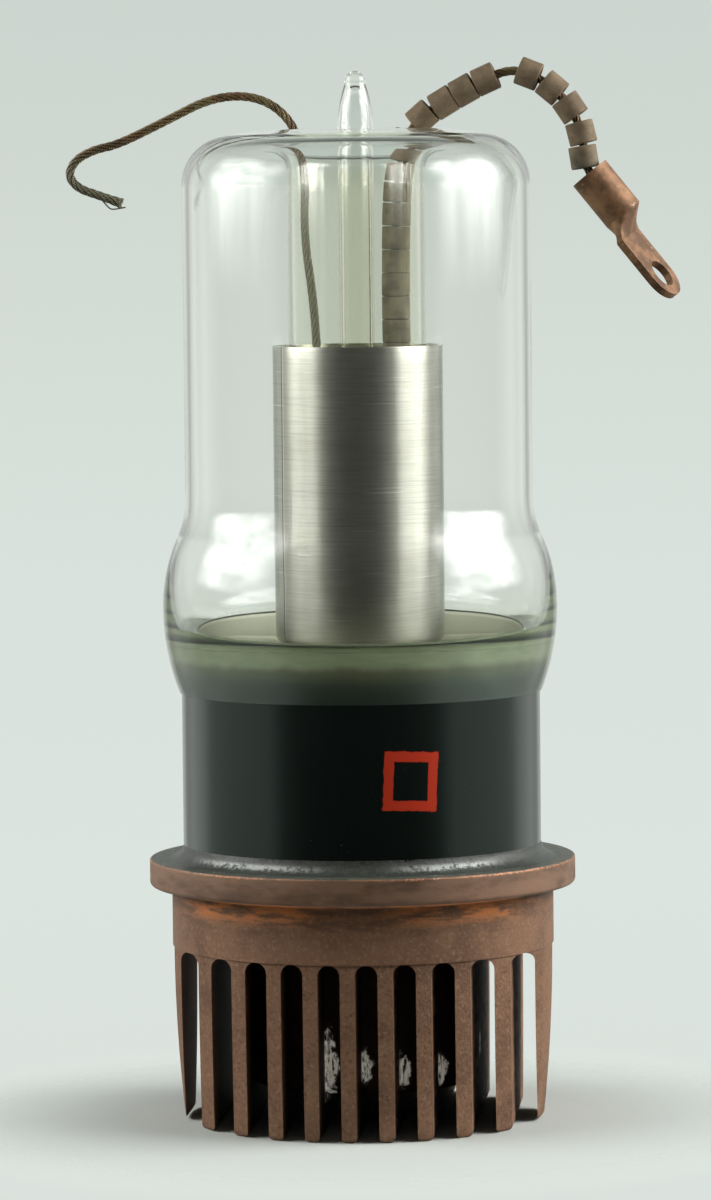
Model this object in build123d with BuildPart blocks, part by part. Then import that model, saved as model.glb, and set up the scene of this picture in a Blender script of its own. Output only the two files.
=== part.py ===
from build123d import *
import os
from math import cos, radians, sin, tan

# A forced-air cooled rectifier tube with an external anode: a copper anode cup in a finned
# copper radiator, a lacquered metal skirt sealed to a glass envelope, and a re-entrant glass
# tube that carries the cathode leads out of the top.
#
# Millimetres. Z = 0 is the plane of the fin tips and +Z runs up the tube's axis. The fins lie
# along Y and stand side by side along X, and the two leads come out to -X and +X.

os.makedirs("parts", exist_ok=True)

# ---------------------------------------------------------------- driving dimensions

# radiator
FIN_COUNT = 11
FIN_THICKNESS = 3.45
SLOT_WIDTH = 5.19
SLOT_HEIGHT = 41.4  # fin tips to the crowns of the slots
FIN_BARREL_RADIUS = 380.0  # lengthwise curve that narrows the fins towards their tips
FIN_TIP_ROUND = 1.5
FIN_EDGE_ROUND = 1.2
BAND_RADIUS = 45.0  # the smooth ring above the fins
BAND_HEIGHT = 14.1  # crowns of the slots to the top of the band
BAND_STEP = 0.35
CORE_WALL = 3.8
CORE_ROUND = 2.5

# flange, seam and solder
FLANGE_RADIUS = 50.2
FLANGE_THICKNESS = 6.3
FLANGE_ROUND = 1.0  # lower edge
FLANGE_EDGE = 0.5  # upper edge
SEAM_SIZE = 0.9
SOLDER_SIZE = 3.4

# anode cup
CUP_BORE_RADIUS = 19.5
CUP_WALL = 4.0
CUP_FLOOR = 6.0
CUP_RECESS = 9.0  # the cup's closed end above the plane of the fin tips

# lacquered metal skirt
SKIRT_RADIUS = 42.2
SKIRT_WALL = 1.1
SKIRT_HEIGHT = 39.2  # flange to the lower lip of the glass
SEAL_LENGTH = 3.0  # straight part of the skirt under the glass
RIM_INSET = 2.8  # the skirt's free rim inside its outer face
RIM_RISE = 12.4  # lower lip of the glass to the skirt's free rim
SEAL_SHARE = 0.95  # share of the skirt's turn that the glass holds
RIM_WALL = 0.6

# glass envelope
LIP_WALL = 0.5
BULGE_OVERHANG = 4.2  # widest part outside the skirt
BULGE_RISE = 20.0  # lower lip to the widest part
BULGE_WALL = 2.2  # widest radius outside less the widest inside
CAVITY_RISE = 24.0  # lower lip to the widest part of the inside
HEEL_RISE = 16.0  # lower lip to the heel, where the inside turns in to the seal
HEEL_INSET = 0.9  # the heel inside the widest part of the inside
NECK_INSET = 1.3  # straight wall inside the skirt's outer face
NECK_RISE = 45.5  # lower lip to the foot of the straight wall
NECK_WALL = 1.5
ENVELOPE_RISE = 131.35  # lower lip to the ring seal in the crown
CROWN_SLOPE = 8.0  # degrees, falling outwards
CROWN_WALL = 1.9
SHOULDER_RADIUS = 11.5

# re-entrant tube and stem
TUBE_BORE_RADIUS = 14.7
TUBE_WALL = 1.6
RING_SEAL_RADIUS = 24.0
ROLL_RADIUS = 7.5  # air side of the trumpet mouth
TUBE_LENGTH = 114.35  # ring seal to the stem
STEM_THICKNESS = 6.0
EXHAUST_RADIUS = 4.1
EXHAUST_WALL = 1.1
EXHAUST_SHOULDER = 115.0  # stem to the start of the sealed-off tip
TIP_LENGTH = 13.3
TIP_WALL = 5.0

# leads in through the stem
PIN_SPACING = 18.0
PIN_RADIUS = 1.5
PIN_TOP = 8.0  # above the stem
FERRULE_RADIUS = 2.2
FERRULE_WEB = 0.5  # between the end of the pin and the end of the lead
PIN_GRIP = 7.5  # length of a pin inside its ferrule
WIRE_RADIUS = 1.05
WIRE_DEPTH = 7.0  # length of a lead inside its ferrule

# polished shield
SHIELD_RADIUS = 20.0
SHIELD_WALL = 0.6
SHIELD_HEIGHT = 95.6
SHIELD_BASE_THICKNESS = 1.6
SHIELD_BASE_DROP = 24.0  # underside of the stem to the top of the shield's base
BUSHING_RADIUS = 3.2
BUSHING_HEAD_RADIUS = 4.6
BUSHING_HEAD = 1.6

# cathode
COUPLER_RADIUS = 2.6
COUPLER_LENGTH = 8.0
ROD_LENGTH = 26.0
SPACER_RADIUS = 15.0
SPACER_THICKNESS = 4.0
SPACER_DROP = 10.0  # lower end of the pins to the top of the spacer
COLLAR_RADIUS = 2.7
COLLAR_THICKNESS = 1.0
CLAMP_WIDTH = 5.4
CLAMP_DEPTH = 13.0
CLAMP_HEIGHT = 6.0
CLAMP_GRIP = 3.0  # depth of the rod and of the wire ends in a clamp
HAIRPIN_SPACING = 8.0
FILAMENT_RADIUS = 0.6
FILAMENT_CLEARANCE = 5.4  # floor of the cup to the lowest point of a hairpin
CENTER_ROD_RADIUS = 1.2
CENTER_HEAD_RADIUS = 2.4
CENTER_HEAD = 1.5
HOOK_RADIUS = 0.8
HOOK_LENGTH = 12.0

# beads and cable lug
BEAD_RADIUS = 3.35
BEAD_LENGTH = 5.2
BEAD_BORE_RADIUS = 1.65
BEAD_CUP_RADIUS = 2.5
BEAD_CUP_DEPTH = 0.8
BEAD_GAP = 0.22
BARE_WIRE = 2.7  # left open after the beads of the column
LOOSE_GAP = 0.1
COLUMN_BEADS = 22
LOOSE_BEADS = 3
LAST_BEADS = 2
LUG_BARREL_RADIUS = 4.85
LUG_BARREL_BORE = 3.7
LUG_BARREL_LENGTH = 12.5
LUG_MOUTH_DEPTH = 1.6
LUG_WIRE_DEPTH = 3.5
LUG_NECK_LENGTH = 4.6
LUG_TONGUE_WIDTH = 12.0
LUG_TONGUE_THICKNESS = 1.8
LUG_TONGUE_OFFSET = 2.6  # barrel axis to the middle of the tongue
LUG_HOLE_RADIUS = 3.5
LUG_HOLE_DISTANCE = 28.8  # barrel mouth to the hole
LUG_ROLL = 21.0  # degrees that the tongue's face turns to the front

# clearances
SOLDER_GAP = 0.1  # cup in the radiator and in the flange
FIT_GAP = 0.02  # rods, pins and rings in their holes

# ---------------------------------------------------------------- places worked out from them

FIN_PITCH = FIN_THICKNESS + SLOT_WIDTH
RADIATOR_HEIGHT = SLOT_HEIGHT + BAND_HEIGHT
FLANGE_TOP = RADIATOR_HEIGHT + FLANGE_THICKNESS
CUP_RADIUS = CUP_BORE_RADIUS + CUP_WALL
RADIATOR_BORE = CUP_RADIUS + SOLDER_GAP
CORE_RADIUS = RADIATOR_BORE + CORE_WALL
RIM_RADIUS = SKIRT_RADIUS - RIM_INSET
BULGE_RADIUS = SKIRT_RADIUS + BULGE_OVERHANG
NECK_RADIUS = SKIRT_RADIUS - NECK_INSET
LIP_Z = FLANGE_TOP + SKIRT_HEIGHT
RING_SEAL_Z = LIP_Z + ENVELOPE_RISE
STEM_TOP = RING_SEAL_Z - TUBE_LENGTH
STEM_BOTTOM = STEM_TOP - STEM_THICKNESS
TUBE_RADIUS = TUBE_BORE_RADIUS + TUBE_WALL
PIN_X = PIN_SPACING / 2
SHIELD_BASE_TOP = STEM_BOTTOM - SHIELD_BASE_DROP
SHIELD_BOTTOM = SHIELD_BASE_TOP - SHIELD_BASE_THICKNESS
PIN_BOTTOM = SHIELD_BOTTOM - COUPLER_LENGTH / 2
ROD_BOTTOM = PIN_BOTTOM - ROD_LENGTH
SPACER_TOP = PIN_BOTTOM - SPACER_DROP
CLAMP_TOP = ROD_BOTTOM + CLAMP_GRIP
CLAMP_BOTTOM = CLAMP_TOP - CLAMP_HEIGHT
FILAMENT_BOTTOM = CUP_RECESS + CUP_FLOOR + FILAMENT_CLEARANCE
HOOK_Z = FILAMENT_BOTTOM + 2 * FILAMENT_RADIUS + FIT_GAP + HOOK_RADIUS
FERRULE_BOTTOM = STEM_TOP + PIN_TOP - PIN_GRIP
LEAD_START = STEM_TOP + PIN_TOP + FERRULE_WEB


def s_curve(low, high, share):
    """Two tangent arcs from low to high, upright at both ends; share places the turn between them."""
    turn = (low[0] + share * (high[0] - low[0]), low[1] + share * (high[1] - low[1]))
    first = TangentArc(low, turn, tangent=(0, 1))
    return TangentArc(turn, high, tangent=first % 1)


def crown(radius, depth=0.0):
    """The crown's height over a radius, on its air side or at a depth below it."""
    slope = radians(CROWN_SLOPE)
    return RING_SEAL_Z - (radius - RING_SEAL_RADIUS) * tan(slope) - depth / cos(slope)


def bend_radii(points):
    """The largest arc that the two runs at each inner point of a wire's route allow."""
    runs = [Vector(*b) - Vector(*a) for a, b in zip(points, points[1:])]
    return [
        0.45 * min(u.length, v.length) / tan(radians(u.get_angle(v) / 2))
        for u, v in zip(runs, runs[1:])
    ]


def next_bead(route, station, gap):
    """Length along a wire to the next bead: in a bend, neighbours keep the gap at their inner edges."""
    pitch = BEAD_LENGTH + gap
    here = route.tangent_at(station, position_mode=PositionMode.LENGTH)
    for _ in range(6):
        there = route.tangent_at(station + pitch, position_mode=PositionMode.LENGTH)
        pitch = BEAD_LENGTH + gap + BEAD_RADIUS * radians(here.get_angle(there))
    return station + pitch


# ---------------------------------------------------------------- radiator and anode

with BuildSketch() as air_slot:
    slot_wall = SLOT_WIDTH / 2
    with BuildLine():
        TangentArc((slot_wall + FIN_EDGE_ROUND, 0), (slot_wall, FIN_EDGE_ROUND), tangent=(-1, 0))
        Line((slot_wall, FIN_EDGE_ROUND), (slot_wall, SLOT_HEIGHT - slot_wall))
        TangentArc((slot_wall, SLOT_HEIGHT - slot_wall), (0, SLOT_HEIGHT), tangent=(0, 1))
        Line((0, SLOT_HEIGHT), (0, 0))
        Line((0, 0), (slot_wall + FIN_EDGE_ROUND, 0))
    make_face()
    mirror(about=Plane.YZ)

with BuildPart() as radiator:
    fin_radius = BAND_RADIUS - BAND_STEP
    barrel_center = (fin_radius - FIN_BARREL_RADIUS, SLOT_HEIGHT)
    tip_radius = barrel_center[0] + (FIN_BARREL_RADIUS**2 - SLOT_HEIGHT**2) ** 0.5
    bore_floor_z = CUP_RECESS - SOLDER_GAP
    with BuildSketch(Plane.XZ):
        with BuildLine():
            RadiusArc((tip_radius, 0), (fin_radius, SLOT_HEIGHT), -FIN_BARREL_RADIUS)
            Polyline(
                (fin_radius, SLOT_HEIGHT),
                (BAND_RADIUS, SLOT_HEIGHT),
                (BAND_RADIUS, RADIATOR_HEIGHT),
                (RADIATOR_BORE, RADIATOR_HEIGHT),
                (RADIATOR_BORE, bore_floor_z),
                (0, bore_floor_z),
                (0, 0),
                (tip_radius, 0),
            )
        make_face()
        fillet(vertices().group_by(Axis.Y)[0].sort_by(Axis.X)[-1], FIN_TIP_ROUND)
    revolve(axis=Axis.Z)
    with BuildSketch(Plane.XZ):
        with GridLocations(FIN_PITCH, 0, FIN_COUNT - 1, 1):
            add(air_slot.sketch)
    extrude(amount=2 * BAND_RADIUS, both=True, mode=Mode.SUBTRACT)
    with BuildSketch(Plane.XZ) as core:
        with BuildLine():
            Polyline(
                (RADIATOR_BORE, bore_floor_z),
                (CORE_RADIUS, bore_floor_z),
                (CORE_RADIUS, RADIATOR_HEIGHT - BAND_HEIGHT / 2),
                (RADIATOR_BORE, RADIATOR_HEIGHT - BAND_HEIGHT / 2),
                close=True,
            )
        make_face()
        fillet(core.vertices().group_by(Axis.Y)[0].sort_by(Axis.X)[-1], CORE_ROUND)
    revolve(axis=Axis.Z)
radiator.part.label = "radiator"

with BuildPart() as mounting_flange:
    with BuildSketch(Plane.XY.offset(RADIATOR_HEIGHT)):
        Circle(FLANGE_RADIUS)
        Circle(RADIATOR_BORE, mode=Mode.SUBTRACT)
    extrude(amount=FLANGE_THICKNESS)
    outer_edges = mounting_flange.edges().filter_by(GeomType.CIRCLE).group_by(SortBy.RADIUS)[-1]
    lower_edge, upper_edge = outer_edges.sort_by(Axis.Z)
    fillet(lower_edge, FLANGE_ROUND)
    fillet(upper_edge, FLANGE_EDGE)
mounting_flange.part.label = "mounting_flange"

with BuildPart() as anode_cup:
    with BuildSketch(Plane.XY.offset(CUP_RECESS)):
        Circle(CUP_RADIUS)
    extrude(amount=FLANGE_TOP - CUP_RECESS)
    with BuildSketch(Plane.XY.offset(CUP_RECESS + CUP_FLOOR)):
        Circle(CUP_BORE_RADIUS)
    extrude(amount=FLANGE_TOP - CUP_RECESS - CUP_FLOOR, mode=Mode.SUBTRACT)
    bore_floor = anode_cup.faces().filter_by(Axis.Z).sort_by(Axis.Z)[1]
    fillet(bore_floor.edges(), CUP_FLOOR / 2)
    cup_mouth = anode_cup.faces().sort_by(Axis.Z)[-1].inner_wires().edges()
    fillet(cup_mouth, CUP_WALL / 2)
anode_cup.part.label = "anode_cup"

with BuildPart() as braze_seam:
    with BuildSketch(Plane.XZ):
        with BuildLine():
            Polyline(
                (BAND_RADIUS, RADIATOR_HEIGHT - SEAM_SIZE),
                (BAND_RADIUS + SEAM_SIZE, RADIATOR_HEIGHT),
                (BAND_RADIUS, RADIATOR_HEIGHT),
                close=True,
            )
        make_face()
    revolve(axis=Axis.Z)
braze_seam.part.label = "braze_seam"

with BuildPart() as solder_fillet:
    with BuildSketch(Plane.XZ):
        with BuildLine():
            solder_foot = (SKIRT_RADIUS + SOLDER_SIZE, FLANGE_TOP)
            solder_top = (SKIRT_RADIUS, FLANGE_TOP + SOLDER_SIZE)
            RadiusArc(solder_foot, solder_top, 1.5 * SOLDER_SIZE)
            Polyline(solder_top, (SKIRT_RADIUS, FLANGE_TOP), solder_foot)
        make_face()
    revolve(axis=Axis.Z)
solder_fillet.part.label = "solder_fillet"

with BuildPart() as seal_skirt:
    with BuildSketch(Plane.XZ):
        with BuildLine():
            shell_top = LIP_Z + SEAL_LENGTH
            rim_z = LIP_Z + RIM_RISE
            Line((SKIRT_RADIUS, FLANGE_TOP), (SKIRT_RADIUS, shell_top))
            s_curve((SKIRT_RADIUS, shell_top), (RIM_RADIUS, rim_z), SEAL_SHARE)
            Line((RIM_RADIUS, rim_z), (RIM_RADIUS - RIM_WALL, rim_z))
            s_curve(
                (SKIRT_RADIUS - SKIRT_WALL, shell_top), (RIM_RADIUS - RIM_WALL, rim_z), SEAL_SHARE
            )
            Polyline(
                (SKIRT_RADIUS - SKIRT_WALL, shell_top),
                (SKIRT_RADIUS - SKIRT_WALL, FLANGE_TOP),
                (SKIRT_RADIUS, FLANGE_TOP),
            )
        make_face()
    revolve(axis=Axis.Z)
seal_skirt.part.label = "seal_skirt"

# ---------------------------------------------------------------- glass

with BuildPart() as glass_envelope:
    seal_radius = SKIRT_RADIUS + FIT_GAP
    bulge_z = LIP_Z + BULGE_RISE
    neck_z = LIP_Z + NECK_RISE
    neck_bore = NECK_RADIUS - NECK_WALL
    cavity = (BULGE_RADIUS - BULGE_WALL, LIP_Z + CAVITY_RISE)
    heel = (cavity[0] - HEEL_INSET, LIP_Z + HEEL_RISE)
    seal_foot = (seal_radius, LIP_Z + SEAL_LENGTH)
    seal_rise = SEAL_LENGTH + SEAL_SHARE * (RIM_RISE - SEAL_LENGTH)
    seal_line = (seal_radius - SEAL_SHARE * RIM_INSET, LIP_Z + seal_rise)
    with BuildSketch(Plane.XZ):
        with BuildLine():
            Line((seal_radius, LIP_Z), (seal_radius + LIP_WALL, LIP_Z))
            TangentArc((BULGE_RADIUS, bulge_z), (seal_radius + LIP_WALL, LIP_Z), tangent=(0, -1))
            s_curve((BULGE_RADIUS, bulge_z), (NECK_RADIUS, neck_z), 0.64)
            FilletPolyline(
                (NECK_RADIUS, neck_z),
                (NECK_RADIUS, crown(NECK_RADIUS)),
                (RING_SEAL_RADIUS, RING_SEAL_Z),
                radius=SHOULDER_RADIUS,
            )
            Line(
                (RING_SEAL_RADIUS, RING_SEAL_Z),
                (RING_SEAL_RADIUS, crown(RING_SEAL_RADIUS, CROWN_WALL)),
            )
            FilletPolyline(
                (RING_SEAL_RADIUS, crown(RING_SEAL_RADIUS, CROWN_WALL)),
                (neck_bore, crown(neck_bore, CROWN_WALL)),
                (neck_bore, neck_z),
                radius=SHOULDER_RADIUS - NECK_WALL,
            )
            s_curve(cavity, (neck_bore, neck_z), 0.6)
            lower_wall = TangentArc(cavity, heel, tangent=(0, -1))
            TangentArc(heel, seal_line, tangent=lower_wall % 1)
            TangentArc(seal_foot, seal_line, tangent=(0, 1))
            Line(seal_foot, (seal_radius, LIP_Z))
        make_face()
    revolve(axis=Axis.Z)
glass_envelope.part.label = "glass_envelope"

with BuildPart() as reentrant_tube:
    with BuildSketch(Plane.XZ):
        with BuildLine():
            FilletPolyline(
                (TUBE_BORE_RADIUS, STEM_TOP),
                (TUBE_BORE_RADIUS, crown(TUBE_BORE_RADIUS)),
                (RING_SEAL_RADIUS, RING_SEAL_Z),
                radius=ROLL_RADIUS,
            )
            Line(
                (RING_SEAL_RADIUS, RING_SEAL_Z),
                (RING_SEAL_RADIUS, crown(RING_SEAL_RADIUS, CROWN_WALL)),
            )
            FilletPolyline(
                (RING_SEAL_RADIUS, crown(RING_SEAL_RADIUS, CROWN_WALL)),
                (TUBE_RADIUS, crown(TUBE_RADIUS, CROWN_WALL)),
                (TUBE_RADIUS, STEM_TOP),
                radius=ROLL_RADIUS - TUBE_WALL,
            )
            Line((TUBE_RADIUS, STEM_TOP), (TUBE_BORE_RADIUS, STEM_TOP))
        make_face()
    revolve(axis=Axis.Z)
reentrant_tube.part.label = "reentrant_tube"

with BuildPart() as glass_stem:
    with BuildSketch(Plane.XY.offset(STEM_BOTTOM)):
        Circle(TUBE_RADIUS)
        Circle(EXHAUST_RADIUS - EXHAUST_WALL, mode=Mode.SUBTRACT)
        with GridLocations(PIN_SPACING, 0, 2, 1):
            Circle(PIN_RADIUS + FIT_GAP, mode=Mode.SUBTRACT)
    extrude(amount=STEM_THICKNESS)
    stem_skirt = glass_stem.edges().filter_by(GeomType.CIRCLE).group_by(SortBy.RADIUS)[-1]
    fillet(stem_skirt.sort_by(Axis.Z)[0], STEM_THICKNESS / 2)
glass_stem.part.label = "glass_stem"

with BuildPart() as exhaust_tube:
    tip_z = STEM_TOP + EXHAUST_SHOULDER
    bore = EXHAUST_RADIUS - EXHAUST_WALL
    with BuildSketch(Plane.XZ):
        with BuildLine():
            Polyline((bore, STEM_TOP), (EXHAUST_RADIUS, STEM_TOP), (EXHAUST_RADIUS, tip_z))
            Spline(
                (EXHAUST_RADIUS, tip_z),
                (0.58 * EXHAUST_RADIUS, tip_z + 0.78 * TIP_LENGTH),
                (0, tip_z + TIP_LENGTH),
                tangents=[(0, 1), (-1, 0)],
            )
            Line((0, tip_z + TIP_LENGTH), (0, tip_z + TIP_LENGTH - TIP_WALL))
            Spline(
                (0, tip_z + TIP_LENGTH - TIP_WALL),
                (bore, tip_z),
                tangents=[(1, 0), (0, -1)],
            )
            Line((bore, tip_z), (bore, STEM_TOP))
        make_face()
    revolve(axis=Axis.Z)
exhaust_tube.part.label = "exhaust_tube"

# ---------------------------------------------------------------- cathode mount

for side, sign in (("left", -1), ("right", 1)):
    with BuildPart() as seal_pin:
        with BuildSketch(Plane.XY.offset(PIN_BOTTOM)):
            with Locations((sign * PIN_X, 0)):
                Circle(PIN_RADIUS)
        extrude(amount=STEM_TOP + PIN_TOP - PIN_BOTTOM)
    seal_pin.part.label = f"{side}_seal_pin"
    export_step(seal_pin.part, f"parts/{side}_seal_pin.step")

    with BuildPart() as ferrule:
        with BuildSketch(Plane.XY.offset(FERRULE_BOTTOM)):
            with Locations((sign * PIN_X, 0)):
                Circle(FERRULE_RADIUS)
        extrude(amount=PIN_GRIP + FERRULE_WEB + WIRE_DEPTH)
        with BuildSketch(Plane.XY.offset(FERRULE_BOTTOM)):
            with Locations((sign * PIN_X, 0)):
                Circle(PIN_RADIUS + FIT_GAP)
        extrude(amount=PIN_GRIP, mode=Mode.SUBTRACT)
        with BuildSketch(Plane.XY.offset(LEAD_START)):
            with Locations((sign * PIN_X, 0)):
                Circle(WIRE_RADIUS + FIT_GAP)
        extrude(amount=WIRE_DEPTH, mode=Mode.SUBTRACT)
    ferrule.part.label = f"{side}_ferrule"
    export_step(ferrule.part, f"parts/{side}_ferrule.step")

    with BuildPart() as support_rod:
        with BuildSketch(Plane.XY.offset(ROD_BOTTOM)):
            with Locations((sign * PIN_X, 0)):
                Circle(PIN_RADIUS)
        extrude(amount=ROD_LENGTH)
    support_rod.part.label = f"{side}_support_rod"
    export_step(support_rod.part, f"parts/{side}_support_rod.step")

    with BuildPart() as filament_clamp:
        with BuildSketch(Plane.XY.offset(CLAMP_BOTTOM)):
            with Locations((sign * PIN_X, 0)):
                RectangleRounded(CLAMP_WIDTH, CLAMP_DEPTH, CLAMP_WIDTH / 4)
        extrude(amount=CLAMP_HEIGHT)
        with BuildSketch(Plane.XY.offset(ROD_BOTTOM)):
            with Locations((sign * PIN_X, 0)):
                Circle(PIN_RADIUS + FIT_GAP)
        extrude(amount=CLAMP_GRIP, mode=Mode.SUBTRACT)
        with BuildSketch(Plane.XY.offset(CLAMP_BOTTOM)):
            with Locations((sign * PIN_X, 0)):
                with GridLocations(0, HAIRPIN_SPACING, 1, 2):
                    Circle(FILAMENT_RADIUS + FIT_GAP)
        extrude(amount=CLAMP_GRIP, mode=Mode.SUBTRACT)
    filament_clamp.part.label = f"{side}_filament_clamp"
    export_step(filament_clamp.part, f"parts/{side}_filament_clamp.step")

with BuildPart() as shield_cylinder:
    with BuildSketch(Plane.XY.offset(SHIELD_BOTTOM)):
        Circle(SHIELD_RADIUS)
        Circle(SHIELD_RADIUS - SHIELD_WALL, mode=Mode.SUBTRACT)
    extrude(amount=SHIELD_HEIGHT)
shield_cylinder.part.label = "shield_cylinder"

with BuildPart() as shield_base:
    with BuildSketch(Plane.XY.offset(SHIELD_BOTTOM)):
        Circle(SHIELD_RADIUS - SHIELD_WALL - FIT_GAP)
        with Locations((-PIN_X, 0)):
            Circle(PIN_RADIUS + FIT_GAP, mode=Mode.SUBTRACT)
        with Locations((PIN_X, 0)):
            Circle(BUSHING_RADIUS + FIT_GAP, mode=Mode.SUBTRACT)
    extrude(amount=SHIELD_BASE_THICKNESS)
shield_base.part.label = "shield_base"

with BuildPart() as shield_bushing:
    with BuildSketch(Plane.XY.offset(SHIELD_BOTTOM)):
        with Locations((PIN_X, 0)):
            Circle(BUSHING_RADIUS)
            Circle(PIN_RADIUS + FIT_GAP, mode=Mode.SUBTRACT)
    extrude(amount=SHIELD_BASE_THICKNESS)
    with BuildSketch(Plane.XY.offset(SHIELD_BASE_TOP)):
        with Locations((PIN_X, 0)):
            Circle(BUSHING_HEAD_RADIUS)
            Circle(PIN_RADIUS + FIT_GAP, mode=Mode.SUBTRACT)
    extrude(amount=BUSHING_HEAD)
shield_bushing.part.label = "shield_bushing"

with BuildPart() as rod_couplers:
    with BuildSketch(Plane.XY.offset(SHIELD_BOTTOM - COUPLER_LENGTH)):
        with GridLocations(PIN_SPACING, 0, 2, 1):
            Circle(COUPLER_RADIUS)
            Circle(PIN_RADIUS + FIT_GAP, mode=Mode.SUBTRACT)
    extrude(amount=COUPLER_LENGTH)
rod_couplers.part.label = "rod_couplers"

with BuildPart() as ceramic_spacer:
    with BuildSketch(Plane.XY.offset(SPACER_TOP - SPACER_THICKNESS)):
        Circle(SPACER_RADIUS)
        with GridLocations(PIN_SPACING, 0, 2, 1):
            Circle(PIN_RADIUS + FIT_GAP, mode=Mode.SUBTRACT)
        Circle(CENTER_ROD_RADIUS + FIT_GAP, mode=Mode.SUBTRACT)
    extrude(amount=SPACER_THICKNESS)
ceramic_spacer.part.label = "ceramic_spacer"

with BuildPart() as spacer_collars:
    for collar_z in (SPACER_TOP, SPACER_TOP - SPACER_THICKNESS - COLLAR_THICKNESS):
        with BuildSketch(Plane.XY.offset(collar_z)):
            with GridLocations(PIN_SPACING, 0, 2, 1):
                Circle(COLLAR_RADIUS)
                Circle(PIN_RADIUS + FIT_GAP, mode=Mode.SUBTRACT)
        extrude(amount=COLLAR_THICKNESS)
spacer_collars.part.label = "spacer_collars"

with BuildPart() as center_rod:
    with BuildSketch(Plane.XY.offset(SPACER_TOP)):
        Circle(CENTER_HEAD_RADIUS)
    extrude(amount=CENTER_HEAD)
    rod_end = HOOK_Z - HOOK_RADIUS - CENTER_ROD_RADIUS / 2
    with BuildSketch(Plane.XY.offset(rod_end)):
        Circle(CENTER_ROD_RADIUS)
    extrude(amount=SPACER_TOP - rod_end)
    with BuildSketch(Plane.XZ):
        with Locations((0, HOOK_Z)):
            Circle(HOOK_RADIUS + FIT_GAP)
    extrude(amount=2 * CENTER_ROD_RADIUS, both=True, mode=Mode.SUBTRACT)
center_rod.part.label = "center_rod"

with BuildPart() as filament_hook:
    with BuildSketch(Plane.XZ):
        with Locations((0, HOOK_Z)):
            Circle(HOOK_RADIUS)
    extrude(amount=HOOK_LENGTH / 2, both=True)
filament_hook.part.label = "filament_hook"

with BuildPart() as hairpin:
    bend_z = FILAMENT_BOTTOM + FILAMENT_RADIUS + PIN_X
    with BuildLine(Plane.XZ) as hairpin_line:
        down = Line((-PIN_X, CLAMP_BOTTOM + CLAMP_GRIP), (-PIN_X, bend_z))
        bend = TangentArc(down @ 1, (PIN_X, bend_z), tangent=(0, -1))
        Line(bend @ 1, (PIN_X, CLAMP_BOTTOM + CLAMP_GRIP))
    with BuildSketch(Plane.XY.offset(CLAMP_BOTTOM + CLAMP_GRIP)):
        with Locations((-PIN_X, 0)):
            Circle(FILAMENT_RADIUS)
    sweep(path=hairpin_line.line)

with BuildPart() as filament:
    with GridLocations(0, HAIRPIN_SPACING, 1, 2):
        add(hairpin.part)
filament.part.label = "filament"

# ---------------------------------------------------------------- free leads, beads and lug

left_route = [
    (-PIN_X, 0, LEAD_START),
    (-PIN_X, 0, 149.0),
    (-9.2, 0.3, 172.0),
    (-10.2, 0.0, 192.0),
    (-12.5, -0.4, 208.0),
    (-11.8, -0.3, 223.0),
    (-14.2, 0.0, 234.2),
    (-22.0, 0.3, 240.6),
    (-33.2, 0.2, 240.8),
    (-45.0, -0.6, 234.9),
    (-56.0, -1.8, 229.6),
    (-61.3, -2.3, 228.6),
    (-65.9, -2.7, 226.2),
    (-67.6, -3.0, 222.6),
    (-65.2, -3.3, 219.5),
    (-60.4, -3.8, 217.9),
    (-54.8, -4.4, 215.9),
]

right_route = [
    (PIN_X, 0, LEAD_START),
    (PIN_X, 0, 149.0),
    (9.3, 0.2, 172.0),
    (9.1, 0.1, 193.0),
    (9.3, 0.0, 211.0),
    (10.2, 0.0, 225.5),
    (13.6, -0.1, 234.2),
    (21.5, -0.4, 239.2),
    (30.0, -0.8, 243.8),
    (37.6, -1.1, 246.6),
    (45.3, -1.3, 243.0),
    (51.2, -1.4, 236.6),
    (53.6, -1.4, 229.6),
    (53.3, -1.4, 223.7),
    (57.0, -1.4, 219.1),
]

# The lug lies along the last run of its lead.
lug_axis = (Vector(*right_route[-1]) - Vector(*right_route[-2])).normalized()
lug_side = lug_axis.cross(Vector(0, 1, 0)).normalized()
lug_face = lug_side * cos(radians(LUG_ROLL)) - Vector(0, 1, 0) * sin(radians(LUG_ROLL))
lug_plane = Plane(
    origin=Vector(*right_route[-1]) - lug_axis * LUG_WIRE_DEPTH,
    x_dir=lug_face,
    z_dir=lug_axis,
)

with BuildPart() as left_lead:
    with BuildLine() as left_line:
        FilletPolyline(*left_route, radius=bend_radii(left_route))
    with BuildSketch(Plane(origin=left_line.line @ 0, z_dir=left_line.line % 0)):
        Circle(WIRE_RADIUS)
    sweep(path=left_line.line)
left_lead.part.label = "left_lead"

with BuildPart() as right_lead:
    with BuildLine() as right_line:
        FilletPolyline(*right_route, radius=bend_radii(right_route))
    with BuildSketch(Plane(origin=right_line.line @ 0, z_dir=right_line.line % 0)):
        Circle(WIRE_RADIUS)
    sweep(path=right_line.line)
right_lead.part.label = "right_lead"

with BuildPart() as bead:
    with BuildSketch(Plane.XZ):
        with BuildLine():
            Polyline(
                (BEAD_BORE_RADIUS, -BEAD_LENGTH / 2),
                (BEAD_RADIUS, -BEAD_LENGTH / 2),
                (BEAD_RADIUS, BEAD_LENGTH / 2),
                (BEAD_CUP_RADIUS, BEAD_LENGTH / 2),
                (BEAD_BORE_RADIUS, BEAD_LENGTH / 2 - BEAD_CUP_DEPTH),
                close=True,
            )
        make_face()
    revolve(axis=Axis.Z)

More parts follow.
